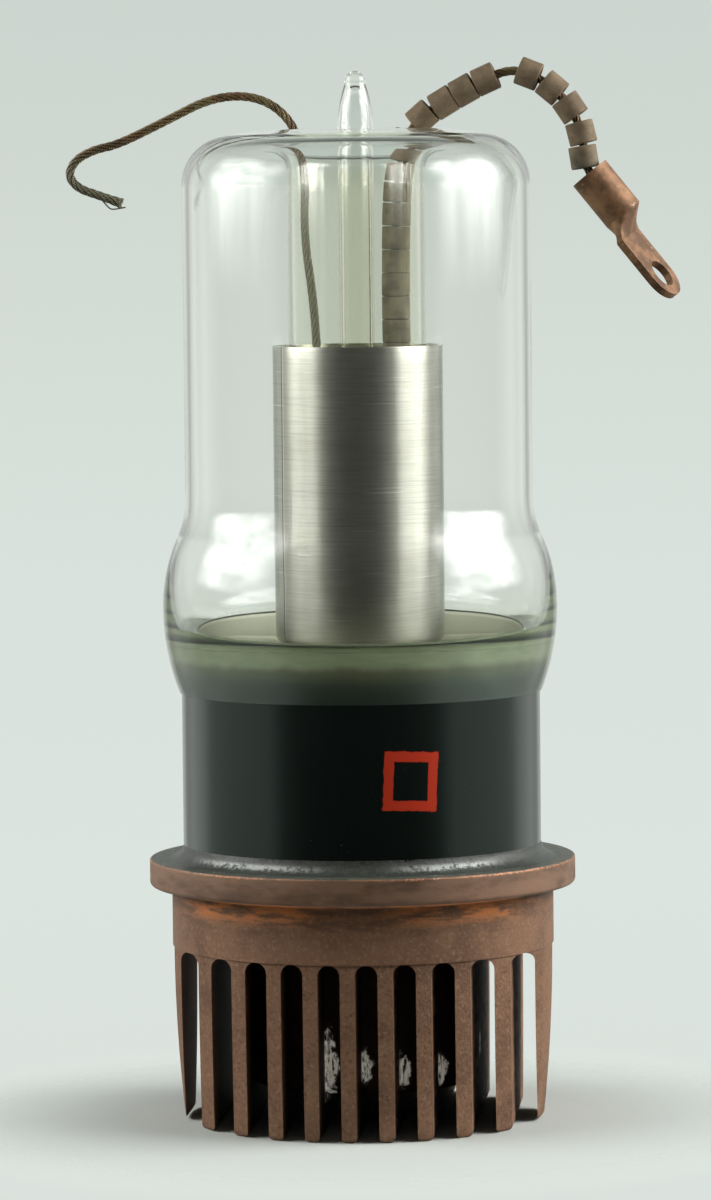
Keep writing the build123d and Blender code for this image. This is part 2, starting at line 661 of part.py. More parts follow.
route = right_line.wire()
bead_stations = [WIRE_DEPTH + BEAD_GAP + BEAD_LENGTH / 2]
gaps = [BEAD_GAP] * (COLUMN_BEADS - 1) + [BARE_WIRE] + [LOOSE_GAP] * LOOSE_BEADS
gaps += [BEAD_GAP] * (LAST_BEADS - 1)
for gap in gaps:
    bead_stations.append(next_bead(route, bead_stations[-1], gap))

with BuildPart() as lead_beads:
    for station in bead_stations:
        with Locations(route.location_at(station, position_mode=PositionMode.LENGTH)):
            add(bead.part)
lead_beads.part.label = "lead_beads"

with BuildPart() as cable_lug:
    with BuildSketch(lug_plane):
        Circle(LUG_BARREL_RADIUS)
    extrude(amount=LUG_BARREL_LENGTH)
    with BuildSketch(lug_plane.offset(LUG_BARREL_LENGTH)):
        Circle(LUG_BARREL_RADIUS)
    with BuildSketch(lug_plane.offset(LUG_BARREL_LENGTH + LUG_NECK_LENGTH)):
        with Locations((-LUG_TONGUE_OFFSET, 0)):
            Rectangle(LUG_TONGUE_THICKNESS, LUG_TONGUE_WIDTH)
    loft()
    tongue_back = -LUG_TONGUE_OFFSET - LUG_TONGUE_THICKNESS / 2
    tongue_plane = Plane(
        origin=lug_plane.from_local_coords((tongue_back, 0, 0)),
        x_dir=lug_axis,
        z_dir=lug_face,
    )
    neck_end = LUG_BARREL_LENGTH + LUG_NECK_LENGTH
    with BuildSketch(tongue_plane):
        with Locations(((neck_end + LUG_HOLE_DISTANCE) / 2, 0)):
            Rectangle(LUG_HOLE_DISTANCE - neck_end, LUG_TONGUE_WIDTH)
        with Locations((LUG_HOLE_DISTANCE, 0)):
            Circle(LUG_TONGUE_WIDTH / 2)
            Circle(LUG_HOLE_RADIUS, mode=Mode.SUBTRACT)
    extrude(amount=LUG_TONGUE_THICKNESS)
    with BuildSketch(lug_plane):
        Circle(LUG_BARREL_BORE)
    extrude(amount=LUG_MOUTH_DEPTH, mode=Mode.SUBTRACT)
    with BuildSketch(lug_plane):
        Circle(WIRE_RADIUS + FIT_GAP)
    extrude(amount=LUG_WIRE_DEPTH, mode=Mode.SUBTRACT)
cable_lug.part.label = "cable_lug"

for piece in (
    radiator,
    mounting_flange,
    anode_cup,
    braze_seam,
    solder_fillet,
    seal_skirt,
    glass_envelope,
    reentrant_tube,
    glass_stem,
    exhaust_tube,
    shield_cylinder,
    shield_base,
    shield_bushing,
    rod_couplers,
    ceramic_spacer,
    spacer_collars,
    center_rod,
    filament_hook,
    filament,
    left_lead,
    right_lead,
    lead_beads,
    cable_lug,
):
    export_step(piece.part, f"parts/{piece.part.label}.step")

for name, route_points in (("left", left_route), ("right", right_route)):
    radii = ", ".join(f"{radius:.1f}" for radius in bend_radii(route_points))
    print(f"{name} lead bend radii: {radii}")
print(f"left lead length {left_line.wire().length:.1f}, right {right_line.wire().length:.1f}")
print(f"last bead station {bead_stations[-1]:.1f}")
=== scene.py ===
"""Looks of an air-cooled rectifier tube with an external anode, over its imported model."""

import logging
import math
import random
from dataclasses import dataclass, field
from enum import Enum
from typing import Callable, Mapping, Sequence, Union

import bmesh
import bpy
from mathutils import Matrix, Quaternion, Vector, noise


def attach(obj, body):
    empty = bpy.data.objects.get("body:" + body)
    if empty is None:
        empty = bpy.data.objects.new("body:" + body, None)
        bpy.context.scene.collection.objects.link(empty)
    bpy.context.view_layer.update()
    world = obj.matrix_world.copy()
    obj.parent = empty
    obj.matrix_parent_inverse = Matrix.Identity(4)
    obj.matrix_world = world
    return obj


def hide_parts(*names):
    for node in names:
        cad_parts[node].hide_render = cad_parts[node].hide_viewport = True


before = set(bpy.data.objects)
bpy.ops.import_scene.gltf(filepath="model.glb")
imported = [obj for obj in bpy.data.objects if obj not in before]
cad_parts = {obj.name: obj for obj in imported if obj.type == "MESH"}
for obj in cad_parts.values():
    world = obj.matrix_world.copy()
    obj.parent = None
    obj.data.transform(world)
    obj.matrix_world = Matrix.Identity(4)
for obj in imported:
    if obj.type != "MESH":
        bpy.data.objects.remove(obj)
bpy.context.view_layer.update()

LOG = logging.getLogger("rectifier_tube")
MM = 0.001
Colour = tuple[float, float, float]
Point = tuple[float, float]
Place = tuple[float, float, float]
Shell = tuple[list[Vector], list[tuple[int, ...]]]


def tone(red: float, green: float, blue: float) -> Colour:
    """Turn a colour written from 0 to 255 into the linear values that shaders take.

    Args:
        red: Red, as on a screen.
        green: Green, as on a screen.
        blue: Blue, as on a screen.

    Returns:
        The linear colour.
    """
    parts = []
    for part in (red, green, blue):
        share = part / 255.0
        parts.append(share / 12.92 if share <= 0.04045 else ((share + 0.055) / 1.055) ** 2.4)
    return parts[0], parts[1], parts[2]


# ---------------------------------------------------------------------------- shader nodes


class Wire:
    """An output socket that does arithmetic: an expression on values adds Math nodes."""

    def __init__(self, desk: "NodeDesk", socket: bpy.types.NodeSocket) -> None:
        """Keep the desk that adds nodes and the socket."""
        self.desk = desk
        self.socket = socket

    def math(self, operation: str, *others: "Value") -> "Wire":
        """Add a Math node on this value.

        Args:
            operation: The Math node's operation.
            others: Its second and third values.

        Returns:
            The node's result.
        """
        values = {place: value for place, value in enumerate((self, *others))}
        return self.desk.node("ShaderNodeMath", {"operation": operation}, values)

    def __add__(self, other: "Value") -> "Wire":
        """Add a value."""
        return self.math("ADD", other)

    def __radd__(self, other: float) -> "Wire":
        """Add this to a number."""
        return self.math("ADD", other)

    def __sub__(self, other: "Value") -> "Wire":
        """Take a value away."""
        return self.math("SUBTRACT", other)

    def __rsub__(self, other: float) -> "Wire":
        """Take this away from a number."""
        return self.desk.node("ShaderNodeMath", {"operation": "SUBTRACT"}, {0: other, 1: self})

    def __mul__(self, other: "Value") -> "Wire":
        """Multiply by a value."""
        return self.math("MULTIPLY", other)

    def __rmul__(self, other: float) -> "Wire":
        """Multiply a number by this."""
        return self.math("MULTIPLY", other)

    def __truediv__(self, other: "Value") -> "Wire":
        """Divide by a value."""
        return self.math("DIVIDE", other)

    def __abs__(self) -> "Wire":
        """Drop the sign."""
        return self.math("ABSOLUTE")

    def least(self, other: "Value") -> "Wire":
        """Keep the smaller of this and a value."""
        return self.math("MINIMUM", other)

    def most(self, other: "Value") -> "Wire":
        """Keep the larger of this and a value."""
        return self.math("MAXIMUM", other)

    def rise(self, low: float, high: float) -> "Wire":
        """Climb smoothly from 0 at one value to 1 at another.

        Args:
            low: The value that gives 0.
            high: The value that gives 1.

        Returns:
            The mask.
        """
        settings = {"interpolation_type": "SMOOTHSTEP", "clamp": True}
        values = {"Value": self, "From Min": low, "From Max": high}
        return self.desk.node("ShaderNodeMapRange", settings, values)

    def within(self, middle: float, half: float, soft: float) -> "Wire":
        """Mask the values that lie near one value.

        Args:
            middle: The value in the middle.
            half: How far the mask reaches to each side.
            soft: The width of its soft edge.

        Returns:
            1 inside and 0 outside.
        """
        return abs(self - middle).rise(half + soft / 2, half - soft / 2)

    def within_either(self, first: Place, second: Place) -> "Wire":
        """Mask the values that lie in one of two zones.

        Args:
            first: The first zone's middle, half and soft edge, as within takes them.
            second: The second zone's.

        Returns:
            1 inside and 0 outside.
        """
        return self.within(*first).most(self.within(*second))


Value = Union[Wire, float, Sequence[float]]


class NodeDesk:
    """The node tree of one material, lamp or world, and the one way nodes get into it."""

    def __init__(self, tree: bpy.types.NodeTree) -> None:
        """Start the tree afresh."""
        self.tree = tree
        self.tree.nodes.clear()

    def node(
        self,
        kind: str,
        settings: Mapping[str, object] | None = None,
        values: Mapping[Union[str, int], Value] | None = None,
        output: Union[str, int] = 0,
    ) -> Wire:
        """Add a node: its settings first, then the values or links of its sockets.

        Args:
            kind: The node's type.
            settings: Its settings; "stops" are a ramp's positions and colours.
            values: Numbers, colours or wires for its input sockets.
            output: The output socket to hand back.

        Returns:
            The chosen output.
        """
        made = self.tree.nodes.new(kind)
        for name, setting in (settings or {}).items():
            if name == "stops":
                self._set_stops(made.color_ramp, setting)
            else:
                setattr(made, name, setting)
        for name, value in (values or {}).items():
            socket = made.inputs[name]
            if isinstance(value, Wire):
                self.tree.links.new(value.socket, socket)
            elif socket.type == "RGBA" and len(value) == 3:
                socket.default_value = (*value, 1.0)
            else:
                socket.default_value = value
        return Wire(self, made.outputs[output] if len(made.outputs) else None)

    @staticmethod
    def _set_stops(ramp: bpy.types.ColorRamp, stops: Sequence[tuple[float, Colour]]) -> None:
        """Set a ramp's stops.

        Args:
            ramp: The ramp.
            stops: Positions with their colours.
        """
        while len(ramp.elements) < len(stops):
            ramp.elements.new(1.0)
        for element, (position, colour) in zip(ramp.elements, stops):
            element.position = position
            element.color = (*colour, 1.0)

    def place(self) -> Wire:
        """Give the place on the object in millimetres."""
        coordinates = self.node("ShaderNodeTexCoord", output="Object")
        return self.node(
            "ShaderNodeVectorMath", {"operation": "SCALE"}, {0: coordinates, "Scale": 1000.0}
        )

    def axes(self, vector: Wire) -> tuple[Wire, Wire, Wire]:
        """Split a vector.

        Args:
            vector: The vector.

        Returns:
            Its X, Y and Z.
        """
        first = self.node("ShaderNodeSeparateXYZ", None, {0: vector})
        outputs = first.socket.node.outputs
        return first, Wire(self, outputs[1]), Wire(self, outputs[2])

    def cloud(
        self, vector: Wire, size: float, detail: float, rough: float, seed: float,
        pull: Place | None = None,
    ) -> Wire:
        """Give soft noise from 0 to 1.

        Args:
            vector: Where it is read, in millimetres.
            size: The size of its blotches, in millimetres.
            detail: How many finer layers it has.
            rough: How strong those are.
            seed: Which noise it is.
            pull: One factor an axis; a small one draws the blotches out along its axis.

        Returns:
            The noise.
        """
        if pull is not None:
            vector = self.node(
                "ShaderNodeVectorMath", {"operation": "MULTIPLY"}, {0: vector, 1: pull}
            )
        values = {
            "Vector": vector, "W": seed, "Scale": 1.0 / size, "Detail": detail,
            "Roughness": rough,
        }
        return self.node("ShaderNodeTexNoise", {"noise_dimensions": "4D"}, values)

    def blend(self, mask: Value, under: Value, over: Value) -> Wire:
        """Lay one colour over another.

        Args:
            mask: Where the upper colour shows.
            under: The lower colour.
            over: The upper colour.

        Returns:
            The mixed colour.
        """
        settings = {"data_type": "RGBA", "clamp_factor": True}
        return self.node("ShaderNodeMix", settings, {0: mask, 6: under, 7: over}, 2)

    def layers(self, base: Value, *coats: tuple[Value, Value]) -> Value:
        """Lay colours one after another, each over all before it.

        Args:
            base: The lowest colour.
            coats: The mask and the colour of each next one.

        Returns:
            The mixed colour.
        """
        for mask, over in coats:
            base = self.blend(mask, base, over)
        return base

    def bump(self, height: Wire, distance: float, strength: float = 1.0) -> Wire:
        """Turn a height into a surface normal.

        Args:
            height: The height, from 0 to 1.
            distance: How high 1 stands, in millimetres.
            strength: The share of it that is used.

        Returns:
            The normal.
        """
        values = {"Height": height, "Distance": distance * MM, "Strength": strength}
        return self.node("ShaderNodeBump", None, values)

    def turn(self, x: Wire, y: Wire) -> Wire:
        """Give the angle round the axis in degrees, 0 at the front and growing to the right.

        Args:
            x: The place along X.
            y: The place along Y.

        Returns:
            The angle.
        """
        return x.math("ARCTAN2", 0.0 - y) * math.degrees(1.0)

    def reach(self, x: Wire, y: Wire) -> Wire:
        """Give the distance from the axis.

        Args:
            x: The place along X.
            y: The place along Y.

        Returns:
            The distance, in the unit of x and y.
        """
        return (x * x + y * y).math("SQRT")

    def surface(self, shader: Wire, volume: Wire | None = None) -> None:
        """Send a shader to the output.

        Args:
            shader: The surface's shader.
            volume: The shader of what it encloses, if it has one.
        """
        values = {"Surface": shader}
        if volume is not None:
            values["Volume"] = volume
        self.node("ShaderNodeOutputMaterial", None, values)

    def principled(self, **values: Value) -> Wire:
        """Add the general surface shader.

        Args:
            values: Its sockets, with _ for a space and each word in lower case.

        Returns:
            The shader.
        """
        names = {
            "base": "Base Color", "metallic": "Metallic", "roughness": "Roughness",
            "normal": "Normal", "coat": "Coat Weight", "coat_roughness": "Coat Roughness",
            "transmission": "Transmission Weight", "ior": "IOR", "anisotropic": "Anisotropic",
            "anisotropic_turn": "Anisotropic Rotation", "specular": "Specular IOR Level",
            "specular_tint": "Specular Tint", "glow": "Emission Color",
            "emission": "Emission Strength",
        }
        return self.node(
            "ShaderNodeBsdfPrincipled", None, {names[key]: value for key, value in values.items()}
        )


# ---------------------------------------------------------------------------- finishes


@dataclass(frozen=True)
class Finish:
    """A finish: its name, and the nodes that paint it."""

    name: str

    def paint(self, desk: NodeDesk) -> None:
        """Lay the finish's nodes; each finish has its own."""
        raise NotImplementedError

    def material(self) -> bpy.types.Material:
        """Give the finish's material, made once.

        Returns:
            The material.
        """
        name = "painted_" + self.name
        made = bpy.data.materials.get(name)
        if made is None:
            made = bpy.data.materials.new(name)
            made.use_nodes = True
            self.paint(NodeDesk(made.node_tree))
        return made


@dataclass(frozen=True)
class CastCopper(Finish):
    """Brown oxidised copper: sand-cast on the fins, turned smoother on the band above them."""

    name: str = "cast_copper"
    brown: Colour = tone(140, 105, 81)
    dark: Colour = tone(92, 66, 50)
    sandy: Colour = tone(176, 144, 118)
    pitted: Colour = tone(82, 60, 46)
    # Colour of the coppery stain under the flange, made brighter as painted light on the lit sides.
    bright: Colour = tone(234, 148, 88)
    # Darker brown for a blotchy band just under the flange.
    smoky: Colour = tone(70, 50, 38)
    # Painted shade: dark brown laid deep in the slots between the fins.
    slot_shade_brown: Colour = tone(48, 28, 20)
    residue: Colour = tone(250, 249, 244)
    # Painted light: the residue glows by this colour, though it is no lamp.
    residue_painted_glow: Colour = tone(112, 108, 100)
    crown: float = 41.4
    top: float = 55.5
    core: float = 27.4
    # Angles of the two lit sides, where the stain is laid and brightened as painted light.
    sides: tuple[Place, Place] = ((-33.0, 24.0, 22.0), (38.0, 22.0, 22.0))
    patches: tuple[tuple[float, float, float, float], ...] = (
        (-6.1, 15.6, 2.1, 8.2), (2.5, 15.4, 1.6, 4.5), (11.2, 14.3, 1.7, 4.2),
        (19.0, 14.0, 1.7, 3.9), (26.4, 18.4, 1.6, 4.1),
    )

    def paint(self, desk: NodeDesk) -> None:
        """Lay sandy brown, a coppery stain under the flange brightened on the lit sides as painted
        light, a darker band under the flange, painted shade deep in the slots with painted light on
        some fin sides, and pale residue with a painted glow.

        Args:
            desk: The material's nodes.
        """
        place = desk.place()
        x, y, z = desk.axes(place)
        out = desk.reach(x, y)
        sand = desk.cloud(place, 0.8, 3.0, 0.65, 1.0)
        blotch = desk.cloud(place, 11.0, 3.0, 0.55, 2.0)
        rings = desk.cloud(place, 0.8, 2.0, 0.5, 3.0, (0.05, 0.05, 1.0))
        smear = desk.cloud(place, 2.0, 4.0, 0.65, 4.0, (0.22, 0.22, 1.0))
        lit = desk.cloud(place, 2.2, 3.0, 0.65, 6.0, (1.0, 0.12, 0.5)).rise(0.44, 0.58)
        on_band = z.rise(self.crown - 1.5, self.crown + 0.5)
        # A real coppery stain under the flange, laid mostly on the two lit sides and brightened
        # there as painted light.
        stain_and_side_light = z.rise(self.top - 6.5, self.top - 2.5) * smear.rise(0.37, 0.6)
        stain_and_side_light = stain_and_side_light * (desk.turn(x, y).within_either(*self.sides) * 0.9 + 0.08)
        # A darker blotchy band just under the flange.
        under_flange_dark = z.within(self.top - 4.5, 3.0, 3.5) * smear.rise(0.54, 0.44)
        # Painted shade, darker the deeper into the slots, lifted by streaks of painted light on fin
        # sides in the right-hand slots.
        slot_shade = out.rise(46.0, 32.0) * z.rise(self.crown + 0.5, self.crown - 0.5)
        slot_shade = slot_shade * (0.93 - lit * x.rise(0.0, 12.0) * out.rise(27.9, 30.0) * 0.9)
        pale = self.crust(desk, place, x, z) * out.rise(self.core + 1.2, self.core + 0.5)
        pale = pale * y.rise(0.0, -2.0)
        colour = desk.layers(
            self.brown,
            (blotch.rise(0.4, 0.72) * 0.6, self.dark),
            (sand.rise(0.5, 0.72) * 0.5, self.sandy),
            (sand.rise(0.46, 0.3) * (0.7 - on_band * 0.45), self.pitted),
            (stain_and_side_light, self.bright),
            (under_flange_dark * 0.28, self.smoky),
            (slot_shade, self.slot_shade_brown),
            (pale, self.residue),
        )
        height = desk.blend(on_band, sand, rings * 0.35 + sand * 0.2)
        # The emission is painted light that makes the residue glow.
        desk.surface(desk.principled(
            base=colour, roughness=0.62 - on_band * 0.12 + sand * 0.1, specular=0.25,
            emission=1.0, glow=desk.blend(pale, (0.0, 0.0, 0.0), self.residue_painted_glow),
            normal=desk.bump(height, 0.34, 0.8),
        ))

    def crust(self, desk: NodeDesk, place: Wire, x: Wire, z: Wire) -> Wire:
        """Mask the fuzzy patches of residue on the core.

        Args:
            desk: The material's nodes.
            place: The place on the piece.
            x: Across the fins.
            z: The height.

        Returns:
            The mask.
        """
        fuzz = desk.cloud(place, 0.7, 4.0, 0.75, 5.0, (1.0, 1.0, 0.22)) - 0.5
        lump = desk.cloud(place, 2.4, 2.0, 0.6, 7.0) - 0.5
        mask: Wire | None = None
        for across, height, half, tall in self.patches:
            off, lift = (x - across) / half, (z - height) / tall
            one = (off * off + lift * lift + fuzz * 3.2 + lump * 4.5).rise(1.1, 0.5)
            mask = one if mask is None else mask.most(one)
        return mask * (fuzz + 0.5).rise(0.36, 0.54)


@dataclass(frozen=True)
class FlangeCopper(Finish):
    """Thick copper ring: brown at its rim and below, dark lacquer on top, a worn bright edge."""

    name: str = "flange_copper"
    brown: Colour = tone(144, 113, 91)
    dark: Colour = tone(102, 77, 60)
    ruddy: Colour = tone(168, 124, 98)
    lacquer: Colour = tone(54, 58, 46)
    rubbed: Colour = tone(88, 91, 79)
    worn: Colour = tone(196, 140, 108)
    speck: Colour = tone(205, 205, 198)
    radius: float = 50.2
    top: float = 61.8

    def paint(self, desk: NodeDesk) -> None:
        """Lay the rim's smears, the lacquer with its pale specks and the worn edge.

        Args:
            desk: The material's nodes.
        """
        place = desk.place()
        x, y, z = desk.axes(place)
        out = desk.reach(x, y)
        smear = desk.cloud(place, 4.0, 4.0, 0.6, 11.0, (0.3, 0.3, 1.0))
        wobble = desk.cloud(place, 3.2, 3.0, 0.6, 12.0) - 0.5
        grain = desk.cloud(place, 0.7, 3.0, 0.6, 13.0)
        blush = desk.cloud(place, 9.0, 2.0, 0.5, 14.0).rise(0.45, 0.7)
        wear = desk.cloud(place, 2.4, 4.0, 0.65, 15.0).rise(0.4, 0.7)
        specks = desk.cloud(place, 0.5, 1.0, 0.5, 16.0).rise(0.66, 0.72)
        specks = specks * desk.cloud(place, 6.0, 1.0, 0.5, 17.0).rise(0.42, 0.62)
        above = (z + wobble * 0.35).rise(self.top - 0.5, self.top - 0.25)
        covered = above * (out + wobble * 1.1).rise(self.radius - 0.1, self.radius - 0.5)
        edge = z.rise(self.top - 0.8, self.top - 0.45) * (1.0 - covered)
        colour = desk.layers(
            self.brown,
            (smear.rise(0.36, 0.68), self.dark),
            (blush * 0.3, self.ruddy),
            (covered, desk.blend(wear, self.lacquer, self.rubbed)),
            (edge * grain.rise(0.42, 0.6) * smear.rise(0.38, 0.56) * 0.8, self.worn),
            (specks * above, self.speck),
        )
        desk.surface(desk.principled(
            base=colour, metallic=0.3 - covered * 0.28 + edge * 0.3,
            roughness=0.52 - covered * 0.06 + grain * 0.14,
            normal=desk.bump(smear + grain * (0.5 + covered * 2.0), 0.2, 0.7),
            coat=covered * 0.18, coat_roughness=0.3,
        ))


@dataclass(frozen=True)
class BrazedSeam(Finish):
    """Bright, uneven braze in the corner under the flange, brightest on the two lit sides as
    painted light.
    """

    name: str = "braze_copper"
    bright: Colour = tone(240, 152, 92)
    dull: Colour = tone(150, 99, 70)
    # Angles of the two lit sides, where the braze is brightened as painted light.
    sides: tuple[Place, Place] = ((-38.0, 22.0, 24.0), (41.0, 20.0, 24.0))

    def paint(self, desk: NodeDesk) -> None:
        """Lay bright braze that turns dull in places, brightest on the two lit sides as painted
        light.

        Args:
            desk: The material's nodes.
        """
        place = desk.place()
        x, y, _ = desk.axes(place)
        patch = desk.cloud(place, 4.0, 4.0, 0.6, 21.0)
        # Painted light: the braze is laid brighter on the two sides that the lamps light.
        lit_sides = desk.turn(x, y).within_either(*self.sides)
        mask = (patch.rise(0.3, 0.6) * 0.55 + lit_sides * 0.6).least(1.0)
        desk.surface(desk.principled(
            base=desk.blend(mask, self.dull, self.bright), metallic=0.25, roughness=0.5,
            normal=desk.bump(desk.cloud(place, 0.9, 2.0, 0.5, 22.0), 0.2, 0.6),
        ))


@dataclass(frozen=True)
class LacqueredSolder(Finish):
    """Soft solder run round the foot of the skirt, lacquered dark, with a painted highlight along
    it on the two lit sides.
    """

    name: str = "lacquered_solder"
    dark: Colour = tone(38, 42, 34)
    hazy: Colour = tone(66, 72, 66)
    # Silvery colour of the painted highlight along the solder.
    bare: Colour = tone(186, 190, 186)
    foot: float = 61.8
    size: float = 3.4
    # Angles of the two lit sides, where the painted highlight lies.
    sides: tuple[Place, Place] = ((-33.0, 20.0, 22.0), (34.0, 15.0, 18.0))

    def paint(self, desk: NodeDesk) -> None:
        """Lay dark lacquer with a broken painted highlight along its middle on the lit sides.

        Args:
            desk: The material's nodes.
        """
        place = desk.place()
        x, y, z = desk.axes(place)
        fuzz = desk.cloud(place, 0.9, 4.0, 0.7, 31.0)
        drift = desk.cloud(place, 12.0, 2.0, 0.5, 32.0, (1.0, 1.0, 0.2)).rise(0.55, 0.8)
        height = z - self.foot + (fuzz - 0.5) * 1.6
        # Painted highlight: a broken silvery line along the solder on the two lit sides.
        lit = desk.turn(x, y).within_either(*self.sides) * 0.9 + drift * 0.15
        line = height.within(self.size * 0.42, 0.55, 0.9) * fuzz.rise(0.36, 0.56) * lit
        line = line.least(1.0)
        colour = desk.layers(
            self.dark, (fuzz.rise(0.4, 0.75), self.hazy), (line, self.bare)
        )
        desk.surface(desk.principled(
            base=colour, metallic=line * 0.6, roughness=0.4 + fuzz * 0.2,
            normal=desk.bump(fuzz, 0.5, 0.7), coat=0.2, coat_roughness=0.25,
        ))


@dataclass(frozen=True)
class BlackLacquer(Finish):
    """Glossy black lacquer on the skirt; oxide shows where the glass is sealed over it."""

    name: str = "black_lacquer"
    black: Colour = tone(8, 12, 10)
    filmed: Colour = tone(19, 22, 21)
    dusty: Colour = tone(120, 124, 120)
    red: Colour = tone(206, 62, 38)
    sealed_black: Colour = tone(14, 15, 13)
    oxide: Colour = tone(24, 25, 19)
    oxide_streak: Colour = tone(44, 45, 35)
    brown: Colour = tone(66, 62, 46)
    bright: Colour = tone(84, 89, 72)
    bright_streak: Colour = tone(116, 121, 102)
    # Pale inner face: painted light for the far wall lit through the glass, lighter towards the
    # rim's top.
    inner: Colour = tone(196, 198, 179)
    inner_top_painted_light: Colour = tone(222, 223, 208)
    # Painted shadow along the very top of the rim.
    rim_painted_shadow: Colour = tone(58, 58, 46)
    gloss_tint: Colour = (0.72, 1.0, 0.86)
    lip: float = 101.0
    shell_top: float = 104.0
    oxide_edge: float = 109.6
    rim: float = 113.4
    radius: float = 42.2
    wall: float = 1.1
    draw_in: float = 2.4
    stamp_turn: float = 20.4
    stamp_height: float = 83.2
    stamp_half: float = 6.6
    stamp_inner: float = 4.35
    stamp_lean: float = 2.5

    def paint(self, desk: NodeDesk) -> None:
        """Lay black, the bare square of red paint, the oxide bands under the glass, and painted
        light on the pale inner face with a painted shadow at the rim's top.

        Args:
            desk: The material's nodes.
        """
        place = desk.place()
        x, y, z = desk.axes(place)
        out = desk.reach(x, y)
        dust = desk.cloud(place, 0.35, 1.0, 0.5, 41.0).rise(0.74, 0.79)
        dust = dust * desk.cloud(place, 9.0, 1.0, 0.5, 42.0).rise(0.45, 0.65)
        film = desk.cloud(place, 16.0, 3.0, 0.6, 43.0, (1.0, 1.0, 0.5))
        wave = desk.cloud(place, 5.5, 2.0, 0.5, 44.0, (1.0, 1.0, 0.3)) - 0.5
        streak = desk.cloud(place, 1.2, 3.0, 0.6, 45.0, (0.25, 0.25, 1.0))
        height = z + wave * 2.4
        above = height.rise(self.oxide_edge - 1.3, self.oxide_edge + 1.0)
        within = (out - self.inner_wall(z)).rise(0.3, 0.15)
        inside = out.rise(self.radius - 0.5, self.radius - 1.05) * (1.0 - z.rise(103.0, 104.5))
        sealed = z.rise(self.lip - 0.3, self.lip + 0.3)
        oxide = desk.blend(streak, self.oxide, self.oxide_streak)
        oxide = desk.blend(z.rise(self.lip + 0.5, self.lip + 7.0), self.sealed_black, oxide)
        # Painted light on the inner face, lighter near the rim's top.
        pale = desk.blend(z.rise(self.rim - 1.5, self.rim - 0.9), self.inner, self.inner_top_painted_light)
        # Painted shadow along the rim's top edge.
        pale = desk.blend(z.rise(self.rim - 0.5, self.rim - 0.3), pale, self.rim_painted_shadow)
        colour = desk.layers(
            self.black,
            (film.rise(0.4, 0.75) * 0.4, self.filmed),
            (dust * 0.45, self.dusty),
            (self.stamp(desk, desk.turn(x, y), z, place), self.red),
            (z.rise(self.lip - 0.6, self.lip + 0.6), oxide),
            (height.rise(self.oxide_edge - 4.5, self.oxide_edge - 0.4) * 0.85, self.brown),
            (above, desk.blend(streak, self.bright, self.bright_streak)),
            (within.most(inside), pale),
        )
        desk.surface(desk.principled(
            base=colour, roughness=0.17 + film * 0.1 + sealed * 0.33, metallic=above * 0.2,
            normal=desk.bump(film + dust * (1.0 - sealed) * 0.4, 0.08, 0.35),
            coat=0.3 - sealed * 0.3, coat_roughness=0.06, specular=0.5,
            specular_tint=self.gloss_tint,
        ))

    def inner_wall(self, z: Wire) -> Wire:
        """Give the inner face's radius at a height.

        Args:
            z: The height.

        Returns:
            The radius.
        """
        share = z.rise(self.shell_top, self.rim)
        return (self.radius - self.wall) - share * share * self.draw_in

    def stamp(self, desk: NodeDesk, turn: Wire, z: Wire, place: Wire) -> Wire:
        """Mask a bare square frame of paint with uneven edges.

        Args:
            desk: The material's nodes.
            turn: The angle round the axis.
            z: The height.
            place: The place on the piece.

        Returns:
            The mask.
        """
        worn = (desk.cloud(place, 1.7, 3.0, 0.6, 46.0) - 0.5) * 0.9
        across = (turn - self.stamp_turn) * math.radians(self.radius)
        up = z - self.stamp_height
        lean = math.radians(self.stamp_lean)
        side = abs(across * math.cos(lean) - up * math.sin(lean))
        tall = abs(across * math.sin(lean) + up * math.cos(lean))
        far = (side * 1.03).most(tall * 0.97)
        near = (side * 1.06).most(tall * 0.98)
        square = (far + worn).rise(self.stamp_half + 0.12, self.stamp_half - 0.12)
        hole = (near + worn * 0.5).rise(self.stamp_inner + 0.12, self.stamp_inner - 0.12)
        front = desk.axes(place)[1].rise(0.0, -1.0)
        return square * (1.0 - hole) * front


@dataclass(frozen=True)
class ClearGlass(Finish):
    """Old hard glass, clear with a faint green depth, smoky on the well."""

    name: str = "clear_glass"
    tint: Colour = (1.0, 1.0, 1.0)
    smoke: Colour = (0.992, 0.985, 0.948)
    depth: Colour = (0.62, 0.73, 0.44)
    shade: Colour = (0.97, 0.98, 0.97)
    density: float = 38.0
    index: float = 1.47
    smoke_radius: float = 16.6
    smoke_top: float = 228.0

    def paint(self, desk: NodeDesk) -> None:
        """Lay clear glass that light passes straight through for its shadows.

        Args:
            desk: The material's nodes.
        """
        place = desk.place()
        x, y, z = desk.axes(place)
        smoky = desk.reach(x, y).rise(self.smoke_radius + 0.4, self.smoke_radius)
        smoky = smoky * z.rise(self.smoke_top, self.smoke_top - 6.0)
        film = desk.cloud(place, 14.0, 3.0, 0.55, 51.0, (1.0, 1.0, 0.35))
        ripple = desk.cloud(place, 5.0, 1.0, 0.4, 52.0, (1.0, 1.0, 0.12))
        glass = desk.principled(
            base=desk.blend(smoky * (0.75 + film * 0.25), self.tint, self.smoke),
            roughness=0.0, ior=self.index, transmission=1.0,
            normal=desk.bump(ripple, 0.05, 0.35),
        )
        through = desk.node("ShaderNodeBsdfTransparent", None, {"Color": self.shade})
        ray = desk.node("ShaderNodeLightPath", output="Is Shadow Ray")
        shader = desk.node("ShaderNodeMixShader", None, {0: ray, 1: glass, 2: through})
        volume = desk.node(
            "ShaderNodeVolumeAbsorption", None, {"Color": self.depth, "Density": self.density}
        )
        desk.surface(shader, volume)


